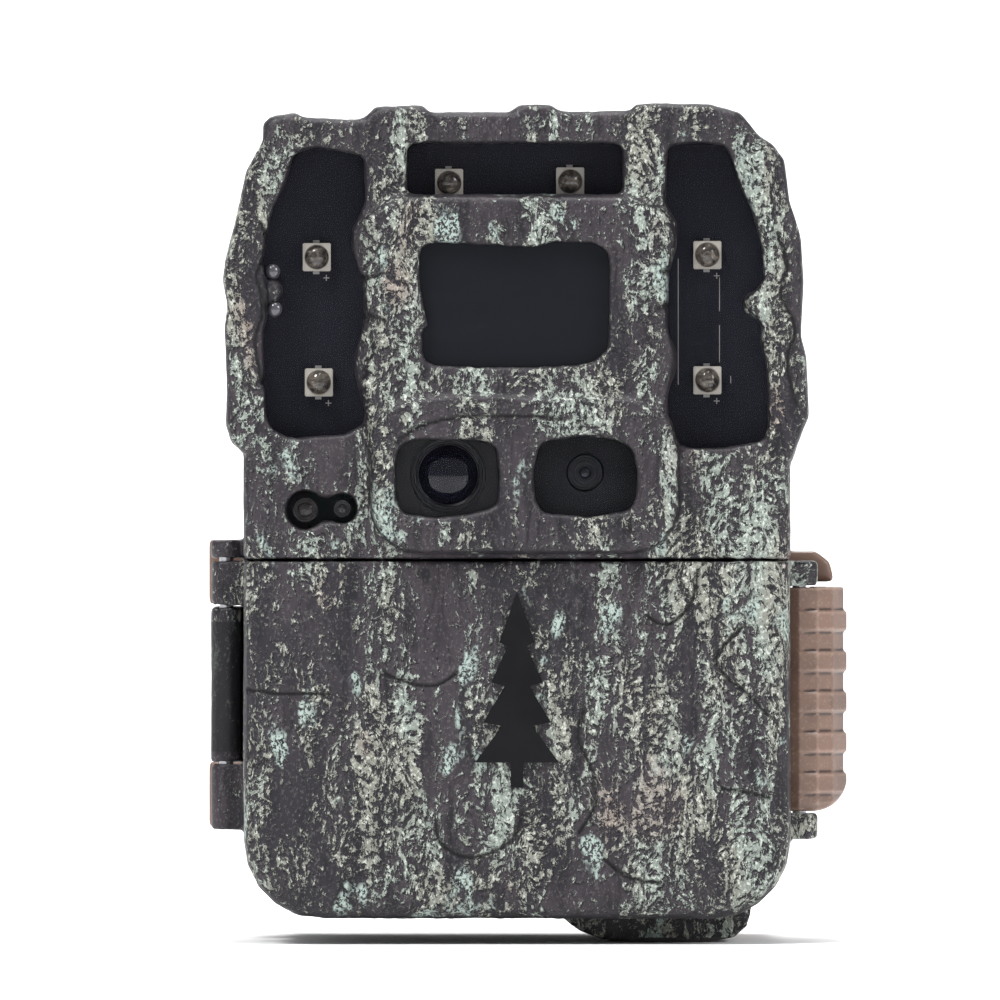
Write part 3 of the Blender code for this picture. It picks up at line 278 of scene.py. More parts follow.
# ---- Battery tray ----
# A black tray with six alkaline AA cells that slides down out of the case. The cells have a printed
# film sleeve with a copper-coloured band, bare steel ends, and sit on nickel springs.
BLACK = moulded_plastic("black_plastic", (0.018, 0.018, 0.020), 0.45)
tray = cad_copy("battery_tray", "battery_tray_moulding")
round_over(tray, 0.4 * MM, 2, 70000)
finished(tray, BLACK, "battery_tray", ["battery_tray"])

cell_low, cell_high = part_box("aa_cell_1")
cell_height = cell_high[2] - cell_low[2]
cell_sleeve, tree, surface, place = blank("cell_sleeve")
height = axes(tree, place)[2]
share = maths(tree, "DIVIDE", maths(tree, "SUBTRACT", height, cell_low[2]), cell_height)
band = step_up(tree, share, 0.70, 0.705)
nub = step_up(tree, share, 0.965, 0.968)
foot = maths(tree, "SUBTRACT", 1.0, step_up(tree, share, 0.018, 0.022))
ends = maths(tree, "MAXIMUM", nub, foot)
scuffs = noise(tree, scaled(tree, place, (900, 900, 300)), 3.0, 0.65)
sleeve = blend(tree, band, (0.022, 0.024, 0.028), (0.45, 0.20, 0.08))
sleeve = blend(tree, maths(tree, "MULTIPLY", step_up(tree, scuffs, 0.62, 0.72), 0.3), sleeve, (0.2, 0.2, 0.2))
feed(tree, surface, {"Base Color": blend(tree, ends, sleeve, (0.55, 0.55, 0.56)),
                     "Metallic": maths(tree, "MAXIMUM", maths(tree, "MULTIPLY", band, 0.8), ends),
                     "Roughness": maths(tree, "MULTIPLY_ADD", scuffs, 0.2, 0.2)})
CELL_NODES = ["aa_cell_%d" % number for number in range(1, 7)]
coat(cell_sleeve, *CELL_NODES)


def middle_of(node):
    """The middle of a node's box, seen from the front."""
    low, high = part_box(node)
    return (low[0] + high[0]) / 2, (low[2] + high[2]) / 2


def around(x, z, radius, sides):
    """Points on a circle, seen from the front."""
    return [(x + radius * math.cos(2 * math.pi * side / sides),
             z + radius * math.sin(2 * math.pi * side / sides)) for side in range(sides)]


def coil_spring(wire, radius, height, turns, steps=14, sides=6):
    """A round-wire spring that stands on the origin, as a bmesh."""
    shape = bmesh.new()
    rings = []
    for step in range(turns * steps + 1):
        angle = 2 * math.pi * step / steps
        rise = height * step / (turns * steps)
        shrink = radius * (1 - 0.35 * rise / height)
        centre = Vector((shrink * math.cos(angle), shrink * math.sin(angle), rise))
        outward = Vector((math.cos(angle), math.sin(angle), 0))
        rings.append([shape.verts.new(centre + outward * across + Vector((0, 0, along)))
                      for across, along in around(0, 0, wire, sides)])
    for low, high in zip(rings, rings[1:]):
        for side in range(sides):
            shape.faces.new((low[side], low[(side + 1) % sides], high[(side + 1) % sides], high[side]))
    shape.faces.new(rings[0][::-1])
    shape.faces.new(rings[-1])
    bmesh.ops.recalc_face_normals(shape, faces=shape.faces)
    return shape


def scatter(name, source, places, material):
    """Geometry nodes: one copy of the source piece on each place, made real, with its material."""
    cloud = bpy.data.meshes.new(name)
    cloud.from_pydata([tuple(spot) for spot in places], [], [])
    thing = bpy.data.objects.new(name, cloud)
    bpy.context.collection.objects.link(thing)
    tree = bpy.data.node_groups.new(name, "GeometryNodeTree")
    tree.interface.new_socket("Geometry", in_out="INPUT", socket_type="NodeSocketGeometry")
    source_id = tree.interface.new_socket("Source", in_out="INPUT", socket_type="NodeSocketObject").identifier
    tree.interface.new_socket("Geometry", in_out="OUTPUT", socket_type="NodeSocketGeometry")
    given = tree.nodes.new("NodeGroupInput").outputs
    copy = add_node(tree, "GeometryNodeObjectInfo", {"Object": given["Source"]}).outputs["Geometry"]
    put = add_node(tree, "GeometryNodeInstanceOnPoints", {
        "Points": given["Geometry"], "Instance": copy}).outputs[0]
    real = add_node(tree, "GeometryNodeRealizeInstances", {0: put}).outputs[0]
    coated = add_node(tree, "GeometryNodeSetMaterial", {"Geometry": real, "Material": material}).outputs[0]
    tree.links.new(coated, tree.nodes.new("NodeGroupOutput").inputs[0])
    copies = thing.modifiers.new("copies", "NODES")
    copies.node_group = tree
    copies[source_id] = source
    settle(thing)
    bpy.data.objects.remove(source)
    return thing


STEEL = moulded_plastic("bright_steel", (0.50, 0.50, 0.52), 0.30, 1800, 0.006 * MM, 0.08, metallic=1.0)
floor_z = cell_low[2] - 1.5 * MM
cell_spots = []
for node in CELL_NODES:
    low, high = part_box(node)
    cell_spots.append(((low[0] + high[0]) / 2, (low[1] + high[1]) / 2, floor_z))
spring = coil_spring(wire=0.22 * MM, radius=3.4 * MM, height=1.2 * MM, turns=2)
springs = scatter("cell_springs", new_piece("one_spring", spring), cell_spots, STEEL)
springs.data.shade_smooth()
finished(springs, STEEL, "battery_tray")

# ---- Circuit boards ----
# Green glass-epoxy boards with tinned traces and black chips: the main board behind the head, the image
# sensor's and the keys' boards, and the contact board above the cells.
def trace_board(name, mask, copper, pitch, holes=(0.5, 0.5, 0.48), shine=0.5):
    """A circuit board's solder mask over fine right-angled tracks, with tinned holes."""
    material, tree, surface, place = blank(name)
    reach = add_node(tree, "ShaderNodeTexVoronoi", {
        "Vector": scaled(tree, place, (pitch, pitch, pitch)), "Scale": 1.0, "Randomness": 0.75},
        distance="CHEBYCHEV", feature="F1").outputs["Distance"]
    track = maths(tree, "SUBTRACT", 1.0, step_up(tree, maths(tree, "PINGPONG", reach, 0.09), 0.012, 0.02))
    areas = noise(tree, scaled(tree, place, (90, 90, 90)))
    track = maths(tree, "MULTIPLY", track, step_up(tree, areas, 0.46, 0.5))
    hole = maths(tree, "SUBTRACT", 1.0, step_up(tree, reach, 0.07, 0.1))
    feed(tree, surface, {"Base Color": blend(tree, hole, blend(tree, track, mask, copper), holes),
                         "Roughness": 0.38, "Specular IOR Level": shine})
    raise_bump(tree, surface, maths(tree, "MAXIMUM", track, hole), 0.03 * MM, 0.5)
    return material


GREEN_BOARD = trace_board("green_board", (0.010, 0.045, 0.022), (0.02, 0.085, 0.04), 330)
coat(GREEN_BOARD, "main_board", "image_sensor_board", "key_board", "battery_contact_board")


def box_shape(low, high, shape=None, bevel=0.0):
    """A box between two corners, as a bmesh, with its edges bevelled if asked."""
    shape = shape or bmesh.new()
    made = bmesh.ops.create_cube(shape, size=1.0)["verts"]
    for corner in made:
        corner.co = Vector([start + (along + 0.5) * (end - start)
                            for start, along, end in zip(low, corner.co, high)])
    if bevel:
        edges = {edge for corner in made for edge in corner.link_edges}
        bmesh.ops.bevel(shape, geom=list(edges), offset=bevel, segments=2, affect="EDGES", clamp_overlap=True)
    return shape


board_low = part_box("main_board")[0]
chip_half, chip_height = 2.4 * MM, 0.9 * MM
leg_pitch, leg_half = 0.62 * MM, 0.14 * MM
chip = box_shape((-chip_half, -chip_height, -chip_half), (chip_half, 0, chip_half), bevel=0.12 * MM)
for side in (-chip_half, chip_half):
    for leg in range(7):
        level = (leg - 3) * leg_pitch
        box_shape((side - 0.35 * MM, -0.4 * MM, level - leg_half),
                  (side + 0.45 * MM, 0, level + leg_half), chip)
chip_spots = [(x * MM, board_low[1], board_low[2] + z * MM) for x, z in (
    (-20, 9), (-8, 8), (4, 10), (15, 7), (-18, 22), (18, 21), (-14, 36), (1, 40), (15, 37), (-2, 25))]
chips = scatter("board_chips", new_piece("one_chip", chip), chip_spots, BLACK)
finished(chips, BLACK, "housing")

# ---- Light board ----
# A matt black board carries six infrared emitters. Each is a pale ceramic square with metal pads above
# and below, a smoked silicone dome and a small plus mark; two tinned tracks run down the right side.
BLACK_BOARD = trace_board("black_board", (0.0180, 0.0187, 0.0265), (0.0200, 0.0207, 0.0295), 420,
                          (0.0185, 0.0192, 0.0280), 0.10)
coat(BLACK_BOARD, "light_board")
LED_NODES = ["infrared_led_" + name for name in (
    "left_upper", "left_lower", "top_left", "top_right", "right_upper", "right_lower")]
led_spots = []
for node in LED_NODES:
    x, z = middle_of(node)
    led_spots.append((x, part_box(node)[1][1], z))
led_depth = 1.5 * MM
led_half = 2.0 * MM
PALE_CERAMIC = moulded_plastic("pale_ceramic", (0.60, 0.56, 0.50), 0.3, 1500, 0.01 * MM, 0.12)


def turned_shape(profile, sides=32, front=0.0, centre=(0, 0), shape=None):
    """A round shape about a line in Y. The profile lists millimetres behind the front and of radius."""
    shape = shape or bmesh.new()
    rings = []
    for depth, radius in profile:
        ring = around(*centre, radius * MM, sides) if radius else [centre]
        rings.append([shape.verts.new((x, front + depth * MM, z)) for x, z in ring])
    made = []
    for near, far in zip(rings, rings[1:]):
        for side in range(sides):
            after = (side + 1) % sides
            corners = (near[side % len(near)], near[after % len(near)],
                       far[after % len(far)], far[side % len(far)])
            made.append(shape.faces.new(list(dict.fromkeys(corners))))
    for ring in (rings[0], rings[-1][::-1]):
        if len(ring) > 1:
            made.append(shape.faces.new(ring))
    bmesh.ops.recalc_face_normals(shape, faces=made)
    return shape


def turned_piece(name, profile, sides, front, centre, sharp=None):
    """A smooth turned piece, with edges sharper than an angle kept crisp."""
    thing = new_piece(name, turned_shape(profile, sides, front, centre))
    thing.data.shade_smooth()
    if sharp:
        thing.data.set_sharp_from_angle(angle=math.radians(sharp))
    return thing


def cut(thing, tool, operation="DIFFERENCE", joined=False):
    """Cuts a piece with a tool, or keeps what they share, and removes the tool."""
    cutting = thing.modifiers.new("cutting", "BOOLEAN")
    cutting.operation = operation
    cutting.object = tool
    cutting.use_self = joined
    settle(thing)
    bpy.data.objects.remove(tool)


base = box_shape((-led_half, -led_depth, -led_half), (led_half, 0, led_half), bevel=0.12 * MM)
package = new_piece("one_led_base", base)
well = turned_shape([(-1.0, 1.78), (0.12, 1.78), (0.5, 1.45)], front=-led_depth)
cut(package, new_piece("led_well", well))
bases = scatter("led_bases", package, led_spots, PALE_CERAMIC)
finished(bases, PALE_CERAMIC, "housing", LED_NODES)

smoked_dome, tree, surface, place = blank("smoked_dome")
swirl = noise(tree, scaled(tree, place, (700, 700, 900)), 3.0, 0.6, 0.8)
tint = blend(tree, step_up(tree, swirl, 0.35, 0.66), (0.045, 0.038, 0.034), (0.19, 0.16, 0.13))
tint = blend(tree, step_up(tree, swirl, 0.60, 0.70), tint, (0.42, 0.37, 0.30))
feed(tree, surface, {"Base Color": tint, "Roughness": 0.06, "Coat Weight": 0.6})
dome = turned_shape([(0.45, 1.62), (0.05, 1.70), (-0.30, 1.58), (-0.68, 1.25), (-0.92, 0.80), (-1.04, 0.35),
                     (-1.06, 0)], 36, -led_depth)
domes = scatter("led_domes", new_piece("one_dome", dome), led_spots, smoked_dome)
domes.data.shade_smooth()
finished(domes, smoked_dome, "housing")

pads = bmesh.new()
for end in (-1, 1):
    box_shape((-0.55 * MM, -0.28 * MM, end * (led_half + 0.02 * MM)),
              (0.35 * MM, 0.0, end * (led_half + 0.42 * MM)), pads)
mark_x, mark_z = 1.35 * MM, -led_half - 0.95 * MM
mark_half, stroke_half = 0.42 * MM, 0.07 * MM
for wide, tall, proud in ((mark_half, stroke_half, 0.06 * MM), (stroke_half, mark_half, 0.062 * MM)):
    box_shape((mark_x - wide, -proud, mark_z - tall), (mark_x + wide, 0, mark_z + tall), pads)
TINNED = moulded_plastic("tinned_copper", (0.42, 0.41, 0.40), 0.35, 1500, 0.01 * MM, 0.2)
board_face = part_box("light_board")[0][1]
mark_spots = [(x, board_face, z) for x, y, z in led_spots]
marks = scatter("led_pads", new_piece("one_pad_set", pads), mark_spots, TINNED)
finished(marks, TINNED, "housing")

tracks = bmesh.new()
right_x = led_spots[4][0]
high_z, low_z = led_spots[4][2], led_spots[5][2]
track_half, track_proud = 0.05 * MM, 0.03 * MM
for x, top, end in ((right_x - 4.15 * MM, high_z - 0.5 * MM, low_z - 0.6 * MM),
                    (right_x + 1.75 * MM, high_z - 3.2 * MM, high_z - 8.0 * MM),
                    (right_x + 1.75 * MM, high_z - 10.0 * MM, low_z + 2.6 * MM),
                    (right_x + 3.35 * MM, low_z + 0.6 * MM, low_z - 0.4 * MM)):
    box_shape((x - track_half, board_face - track_proud, end), (x + track_half, board_face + 0.05 * MM, top),
              tracks)
finished(new_piece("board_tracks", tracks), TINNED, "housing")

# ---- Sensors and lenses ----
# A fixed-focus lens in a black barrel behind the left window, a pinhole video eye behind the right one,
# a passive infrared can behind the large pane, and a light cell and lamp behind the small one. Moulded
# baffles close the gap around both lenses.
lens_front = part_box("main_lens_barrel")[0][1]
lens_middle = middle_of("main_lens_barrel")
LENS_BLACK = moulded_plastic("lens_black", (0.006, 0.006, 0.0075), 0.30, 2200, 0.002 * MM, shine=0.32)
barrel = turned_piece("main_lens_tube", [
    (15.0, 0.0), (15.0, 4.2), (4.6, 4.2), (4.5, 5.3), (0.0, 5.3), (-0.02, 5.1), (0.0, 4.95), (0.35, 4.85),
    (0.35, 4.6), (0.75, 4.5), (0.9, 4.3), (3.0, 4.25), (3.0, 0.0)], 64, lens_front, lens_middle, 25)
finished(barrel, LENS_BLACK, "housing", ["main_lens_barrel"])

coated_glass, tree, surface, place = blank("coated_glass")
# Painted reflection: the base colour turns purple towards grazing angles, as the coating's sheen.
coating_painted_sheen = add_node(tree, "ShaderNodeLayerWeight", {"Blend": 0.35}).outputs["Facing"]
feed(tree, surface, {"Base Color": blend(tree, coating_painted_sheen, (0.004, 0.005, 0.012), (0.020, 0.012, 0.034)),
                     "Roughness": 0.02, "Specular IOR Level": 0.45})
glass = turned_piece("main_lens_front_glass", [
    (2.9, 0.0), (2.9, 4.2), (2.1, 4.15), (1.45, 3.7), (1.0, 3.1), (0.7, 2.3), (0.55, 1.5), (0.47, 0.7),
    (0.45, 0.0)], 64, lens_front, lens_middle, 50)
finished(glass, coated_glass, "housing", ["main_lens_glass"])

eye_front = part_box("second_camera")[0][1]
eye_middle = middle_of("second_camera")
eye = turned_piece("second_lens_eye", [
    (12.0, 0.0), (12.0, 2.6), (0.9, 2.6), (0.7, 2.45), (0.7, 2.2), (0.45, 2.1), (0.45, 1.75), (0.2, 1.65),
    (0.2, 1.25), (0.55, 1.15), (0.55, 0.9), (0.9, 0.7), (1.0, 0.0)], 48, eye_front, eye_middle, 25)
EYE_GREY = moulded_plastic("eye_grey", (0.0105, 0.0110, 0.0130), 0.35, 2200, 0.002 * MM, shine=0.3)
finished(eye, EYE_GREY, "housing", ["second_camera"])
eye_glass = turned_piece("second_lens_glass", [
    (0.8, 0.0), (0.8, 0.85), (0.6, 0.8), (0.45, 0.5), (0.4, 0.0)], 32, eye_front, eye_middle)
finished(eye_glass, coated_glass, "housing")
LAMP_LENS = moulded_plastic("lamp_lens", (0.026, 0.021, 0.020), 0.15, 900, 0.002 * MM)
LAMP_RIM = moulded_plastic("lamp_rim", (0.028, 0.028, 0.031), 0.20, 900, 0.002 * MM)
for node, name, material, profile in (
        ("light_sensor", "light_cell", LAMP_LENS,
         ((4.0, 0.0), (4.0, 1.8), (0.1, 1.8), (0.0, 1.7), (0.0, 1.45), (0.3, 1.35), (0.3, 1.1), (0.05, 1.0),
          (-0.1, 0.7), (-0.16, 0.35), (-0.18, 0.0))),
        ("status_led", "status_lamp", LAMP_RIM,
         ((4.0, 0.0), (4.0, 1.3), (0.1, 1.3), (0.0, 1.2), (0.0, 1.0), (0.4, 0.95), (0.4, 0.65), (0.1, 0.6),
          (0.0, 0.3), (-0.02, 0.0)))):
    part = turned_piece(name, profile, 40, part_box(node)[0][1], middle_of(node), 30)
    finished(part, material, "housing", [node])
coat(STEEL, "motion_sensor", "microphone")

BAFFLE_GREY = moulded_plastic("baffle_grey", (0.0125, 0.0130, 0.0150), 0.60, 2200, 0.002 * MM, shine=0.1)
for node, name, centre, radius, material in (
        ("main_lens_window", "main_lens_baffle", lens_middle, 5.45 * MM, LENS_BLACK),
        ("second_lens_window", "second_lens_baffle", eye_middle, 2.75 * MM, BAFFLE_GREY)):
    baffle = bmesh.new()
    low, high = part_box(node)
    hole_edge = around(*centre, radius, 48)
    outer_edge = []
    for x, z in hole_edge:
        reach = min(((high[axis] if part > middle else low[axis]) - middle) / (part - middle)
                    for axis, part, middle in ((0, x, centre[0]), (2, z, centre[1]))
                    if abs(part - middle) > 1e-7)
        outer_edge.append((centre[0] + (x - centre[0]) * reach, centre[1] + (z - centre[1]) * reach))
    depth = high[1] + 0.25 * MM
    loops = [[baffle.verts.new((x, level, z)) for x, z in edge]
             for level, edge in ((depth, hole_edge), (depth, outer_edge),
                                 (depth + 0.8 * MM, outer_edge), (depth + 0.8 * MM, hole_edge))]
    for one, other in zip(loops, loops[1:] + loops[:1]):
        for first in range(48):
            second = (first + 1) % 48
            baffle.faces.new((one[first], one[second], other[second], other[first]))
    bmesh.ops.recalc_face_normals(baffle, faces=baffle.faces)
    finished(new_piece(name, baffle), material, "housing")

# ---- Panes ----
# Flat acrylic: clear covers over the lights and lenses, and an opaque infrared-passing pane for the
# motion sensor. All are polished, with a few faint wipe marks.
def pane(name, colour, opacity, roughness=0.04, shine=0.30):
    """Polished acrylic with faint wipe marks."""
    material, tree, surface, place = blank(name)
    wipes = step_up(tree, noise(tree, scaled(tree, place, (60, 60, 420)), 4.0, 0.7), 0.5, 0.75)
    feed(tree, surface, {"Base Color": (*colour, 1), "Alpha": opacity, "Specular IOR Level": shine,
                         "Roughness": maths(tree, "MULTIPLY_ADD", wipes, 0.08, roughness)})
    return material


coat(pane("clear_pane", (0.004, 0.005, 0.009), 0.10), "light_cover_left", "light_cover_top",
     "light_cover_right", "main_lens_window", "second_lens_window", "sensor_window", "display_window")
coat(pane("infrared_pane", (0.0075, 0.0085, 0.0115), 1.0, 0.20, 0.14), "motion_window")

# ---- Front housing ----
# The camouflage moulding: light frame, centre frame, lens hood and the case behind the door.
# ABS plastic, moulded with shallow bark relief and dipped in a printed film of bark and lichen.
def smooth_line(points, steps=5):
    """A curve through given points, with a few steps between each two."""
    ends = [points[0]] + list(points) + [points[-1]]
    out = []
    for a, b, c, d in zip(ends, ends[1:], ends[2:], ends[3:]):
        for step in range(steps):
            t = step / steps
            out.append(tuple(0.5 * (2 * q + (r - p) * t + (2 * p - 5 * q + 4 * r - s) * t * t
                                    + (3 * q - p - 3 * r + s) * t ** 3) for p, q, r, s in zip(a, b, c, d)))
    return out + [points[-1]]


def curtains(name, lines, near=-45.0, far=-5.0):
    """Upright sheets that run from front to back along lines drawn on the face, in millimetres."""
    shape = bmesh.new()
    for line in lines:
        pairs = [(shape.verts.new((x * MM, near * MM, z * MM)), shape.verts.new((x * MM, far * MM, z * MM)))
                 for x, z in smooth_line(line)]
        for first, second in zip(pairs, pairs[1:]):
            shape.faces.new((first[0], second[0], second[1], first[1]))
    return new_piece(name, shape)


def bark_relief():
    """Geometry nodes: long upright ridges, fine grain, and grooves or welts along the given curtains."""
    tree = bpy.data.node_groups.new("bark_relief", "GeometryNodeTree")
    sockets = tree.interface
    sockets.new_socket("Geometry", in_out="INPUT", socket_type="NodeSocketGeometry")
    for name, value in (("Ridge Height", 0.28 * MM), ("Grain Height", 0.06 * MM), ("Crack Depth", 0.45 * MM),
                        ("Crack Width", 0.44 * MM), ("Welt Height", 0.35 * MM), ("Welt Width", 0.9 * MM)):
        sockets.new_socket(name, in_out="INPUT", socket_type="NodeSocketFloat").default_value = value
    for name in ("Cracks", "Welts"):
        sockets.new_socket(name, in_out="INPUT", socket_type="NodeSocketObject")
    sockets.new_socket("Geometry", in_out="OUTPUT", socket_type="NodeSocketGeometry")
    given = tree.nodes.new("NodeGroupInput").outputs
    place = tree.nodes.new("GeometryNodeInputPosition").outputs[0]
    ridges = noise(tree, scaled(tree, place, (330, 330, 55)), 3.0, 0.55)
    grain = noise(tree, scaled(tree, place, (1100, 1100, 600)), 2.0, 0.6)
    ridge_part = maths(tree, "MULTIPLY", maths(tree, "SUBTRACT", ridges, 0.5), given["Ridge Height"])
    grain_part = maths(tree, "MULTIPLY", maths(tree, "SUBTRACT", grain, 0.5), given["Grain Height"])
    height = maths(tree, "MULTIPLY", maths(tree, "ADD", ridge_part, grain_part), 2.0)
    parts = {}
    for label in ("Crack", "Welt"):
        info = add_node(tree, "GeometryNodeObjectInfo", {"Object": given[label + "s"]})
        near = add_node(tree, "GeometryNodeProximity", {0: info.outputs["Geometry"]}, target_element="FACES")
        share = maths(tree, "DIVIDE", near.outputs["Distance"], given[label + " Width"])
        parts[label] = maths(tree, "SUBTRACT", 1.0, step_up(tree, share, 0.25, 1.0))
    height = maths(tree, "ADD", height, maths(tree, "MULTIPLY", parts["Welt"], given["Welt Height"]))
    height = maths(tree, "SUBTRACT", height, maths(tree, "MULTIPLY", parts["Crack"], given["Crack Depth"]))
    bare = add_node(tree, "GeometryNodeInputNamedAttribute", {"Name": "bare"}, data_type="FLOAT").outputs[0]
    height = maths(tree, "MULTIPLY", height, maths(tree, "SUBTRACT", 1.0, bare))
    normal = tree.nodes.new("GeometryNodeInputNormal").outputs[0]
    push = add_node(tree, "ShaderNodeVectorMath", {0: normal, "Scale": height}, operation="SCALE").outputs[0]
    moved = add_node(tree, "GeometryNodeSetPosition", {"Geometry": given["Geometry"], "Offset": push})
    # Stores how near each point lies to a crack; the camouflage darkens it as dark crack lines and painted
    # shade in the grooves.
    kept = add_node(tree, "GeometryNodeStoreNamedAttribute", {
        "Geometry": moved.outputs[0], "Name": "crack", "Value": parts["Crack"]}, data_type="FLOAT",
        domain="POINT")
    tree.links.new(kept.outputs[0], tree.nodes.new("NodeGroupOutput").inputs[0])
    return tree


def give_relief(thing, cracks, welts, faces, inside):
    """Raises the bark relief on the outer faces, marks the flanks for painted shade and leaves this many
    triangles.
    """
    bare = thing.data.attributes.new("bare", "FLOAT", "POINT")
    # The flank mark sets where the camouflage paints shade: sideways-turned spots inside the face's outline.
    flank_painted_shade = thing.data.attributes.new("flank_painted_shade", "FLOAT", "POINT")
    for corner in thing.data.vertices:
        bare.data[corner.index].value = float(inside(corner.co, corner.normal))
        if abs(corner.co.x - case_middle) < 36.5 * MM and corner.co.y < face_y + 3.3 * MM:
            flank_painted_shade.data[corner.index].value = min(1.0, max(0.0, (0.85 - abs(corner.normal.y)) / 0.5))
    relief = thing.modifiers.new("relief", "NODES")
    relief.node_group = RELIEF
    sockets = {item.name: item.identifier for item in RELIEF.interface.items_tree if item.in_out == "INPUT"}
    relief[sockets["Cracks"]] = cracks
    relief[sockets["Welts"]] = welts
    settle(thing)
    thin_out(thing, faces)
    thing.data.shade_smooth()
    for helper in (cracks, welts):
        bpy.data.objects.remove(helper)


def ease_front(thing, depth, floor, passes):
    """Rounds the edges in front of a depth and above a height much more than the rest."""
    group = thing.vertex_groups.new(name="front")
    chosen = [corner.index for corner in thing.data.vertices if corner.co.y < depth and corner.co.z > floor]
    group.add(chosen, 1.0, "REPLACE")
    ease = thing.modifiers.new("ease", "SMOOTH")
    ease.factor = 0.5
    ease.iterations = passes
    ease.vertex_group = "front"
    settle(thing)
    thing.vertex_groups.clear()


def camouflage(name):
    """Purple-grey bark with upright bands of pale, shadowed lichen flecks and a few aqua crusts.

    There's more lichen to the right, partly the film's own pattern and partly painted light from the right;
    painted shade on the flanks, with less lichen and a darker tone; and painted shade, near-black, in the
    pocket by the hinge pin.
    """
    material, tree, surface, place = blank(name)
    bend = scaled(tree, add_node(tree, "ShaderNodeTexNoise", {
        "Vector": scaled(tree, place, (220, 220, 110)), "Scale": 1.0, "Detail": 2.0}).outputs["Color"],
        (0.004, 0.004, 0.005), (-0.002, -0.002, -0.0025))
    warped = add_node(tree, "ShaderNodeVectorMath", {0: place, 1: bend}, operation="ADD").outputs[0]
    bands = noise(tree, scaled(tree, warped, (135, 100, 30), (3.1, 0, 0)), 4.0, 0.62)
    bands = step_up(tree, bands, 0.37, 0.60)
    streaks = noise(tree, scaled(tree, warped, (520, 520, 60), (0, 7, 0)), 3.0, 0.6)
    bias = maths(tree, "MULTIPLY_ADD", bands, 0.130, -0.119)
    bias = maths(tree, "ADD", bias, maths(tree, "MULTIPLY_ADD", streaks, 0.28, -0.14))
    x, y, z = axes(tree, place)
    # More lichen to the right: partly the film's own pattern, partly painted light falling from the right.
    bias = maths(tree, "ADD", bias, maths(tree, "MULTIPLY", x, 0.45))

    def fleck_level(offset):
        """How much lichen there is, seen from a place to the side of this one."""
        flecks = noise(tree, scaled(tree, warped, (1250, 1250, 900), offset), 5.0, 0.80, 0.1)
        return maths(tree, "ADD", flecks, bias)

    level = fleck_level((0, 0, 0))
    # Painted shade on the flanks: less lichen here, and a darker tone below.
    flank_painted_shade = add_node(tree, "ShaderNodeAttribute", attribute_name="flank_painted_shade").outputs["Fac"]
    level = maths(tree, "SUBTRACT", level, maths(tree, "MULTIPLY", flank_painted_shade, 0.07))
    lichen = step_up(tree, level, 0.492, 0.545)
    cast = step_up(tree, fleck_level((-0.20, 0, 0.20)), 0.445, 0.515)
    shadow = maths(tree, "MULTIPLY", cast, maths(tree, "SUBTRACT", 1.0, lichen))
    crumbs = noise(tree, scaled(tree, place, (2700, 2700, 2100), (5, 5, 5)), 2.0, 0.6, 0.4)
    crust = noise(tree, scaled(tree, warped, (170, 170, 95), (11, 2, 4)), 3.0, 0.55)
    crust = maths(tree, "MULTIPLY", step_up(tree, crust, 0.615, 0.69), step_up(tree, crumbs, 0.44, 0.52))
    tint = noise(tree, scaled(tree, place, (140, 140, 60), (2, 9, 1)), 2.0, 0.5)
    warm = step_up(tree, noise(tree, scaled(tree, place, (80, 80, 42), (4, 1, 8)), 2.0), 0.60, 0.70)

    bark = blend(tree, step_up(tree, tint, 0.35, 0.65), (0.022, 0.020, 0.025), (0.042, 0.035, 0.041))
    bark = blend(tree, step_up(tree, streaks, 0.30, 0.55), (0.013, 0.012, 0.015), bark)
    specks = maths(tree, "MULTIPLY", step_up(tree, crumbs, 0.54, 0.66), 0.35)
    bark = blend(tree, specks, bark, (0.13, 0.12, 0.12))
    pale = blend(tree, step_up(tree, tint, 0.42, 0.60), (0.31, 0.315, 0.27), (0.32, 0.365, 0.325))
    pale = blend(tree, step_up(tree, crumbs, 0.40, 0.64), scaled(tree, pale, (0.62, 0.62, 0.62)), pale)
    lights = maths(tree, "MULTIPLY", step_up(tree, crumbs, 0.58, 0.64), 0.7)
    pale = blend(tree, lights, pale, (0.60, 0.63, 0.57))
    pale = blend(tree, maths(tree, "MULTIPLY", warm, 0.5), pale, (0.25, 0.17, 0.15))
    colour = blend(tree, shadow, bark, (0.008, 0.007, 0.009))
    colour = blend(tree, lichen, colour, pale)
    crust_tone = blend(tree, step_up(tree, crumbs, 0.42, 0.62), (0.17, 0.22, 0.20), (0.35, 0.42, 0.385))
    colour = blend(tree, crust, colour, crust_tone)
    # Painted shade: the flanks are darkened towards near-black.
    colour = blend(tree, maths(tree, "MULTIPLY", flank_painted_shade, 0.42), colour, (0.010, 0.009, 0.011))
    # Dark crack lines of the film, and painted shade in the grooves: near-black along the cracks.
    crack = add_node(tree, "ShaderNodeAttribute", attribute_name="crack").outputs["Fac"]
    colour = blend(tree, maths(tree, "MULTIPLY", crack, 0.92), colour, (0.006, 0.005, 0.006))
    # Painted shade: near-black in the shadowed pocket beside the hinge knuckle, left of -40.6 mm and between
    # 27.4 and 46 mm high.
    hinge_pocket_shade = maths(tree, "MULTIPLY", maths(tree, "GREATER_THAN", z, 27.4 * MM),
                      maths(tree, "LESS_THAN", z, 46.0 * MM))
    bare = maths(tree, "MULTIPLY", maths(tree, "LESS_THAN", x, -40.6 * MM), hinge_pocket_shade)
    colour = blend(tree, maths(tree, "MULTIPLY", bare, 0.88), colour, (0.011, 0.011, 0.013))
    feed(tree, surface, {"Base Color": colour, "Roughness": maths(tree, "MULTIPLY_ADD", lichen, 0.12, 0.44),
                         "Specular IOR Level": 0.20})
    crumb_height = maths(tree, "ADD", maths(tree, "MULTIPLY", lichen, 0.6), crumbs)
    raise_bump(tree, surface, crumb_height, 0.12 * MM, 0.3)
    return material


def unprinted(thing, inside):
    """Faces inside a mould, which the film doesn't reach, show the bare plastic."""
    thing.data.materials.append(BARE)
    for face in thing.data.polygons:
        if inside(face.center, face.normal):
            face.material_index = 1


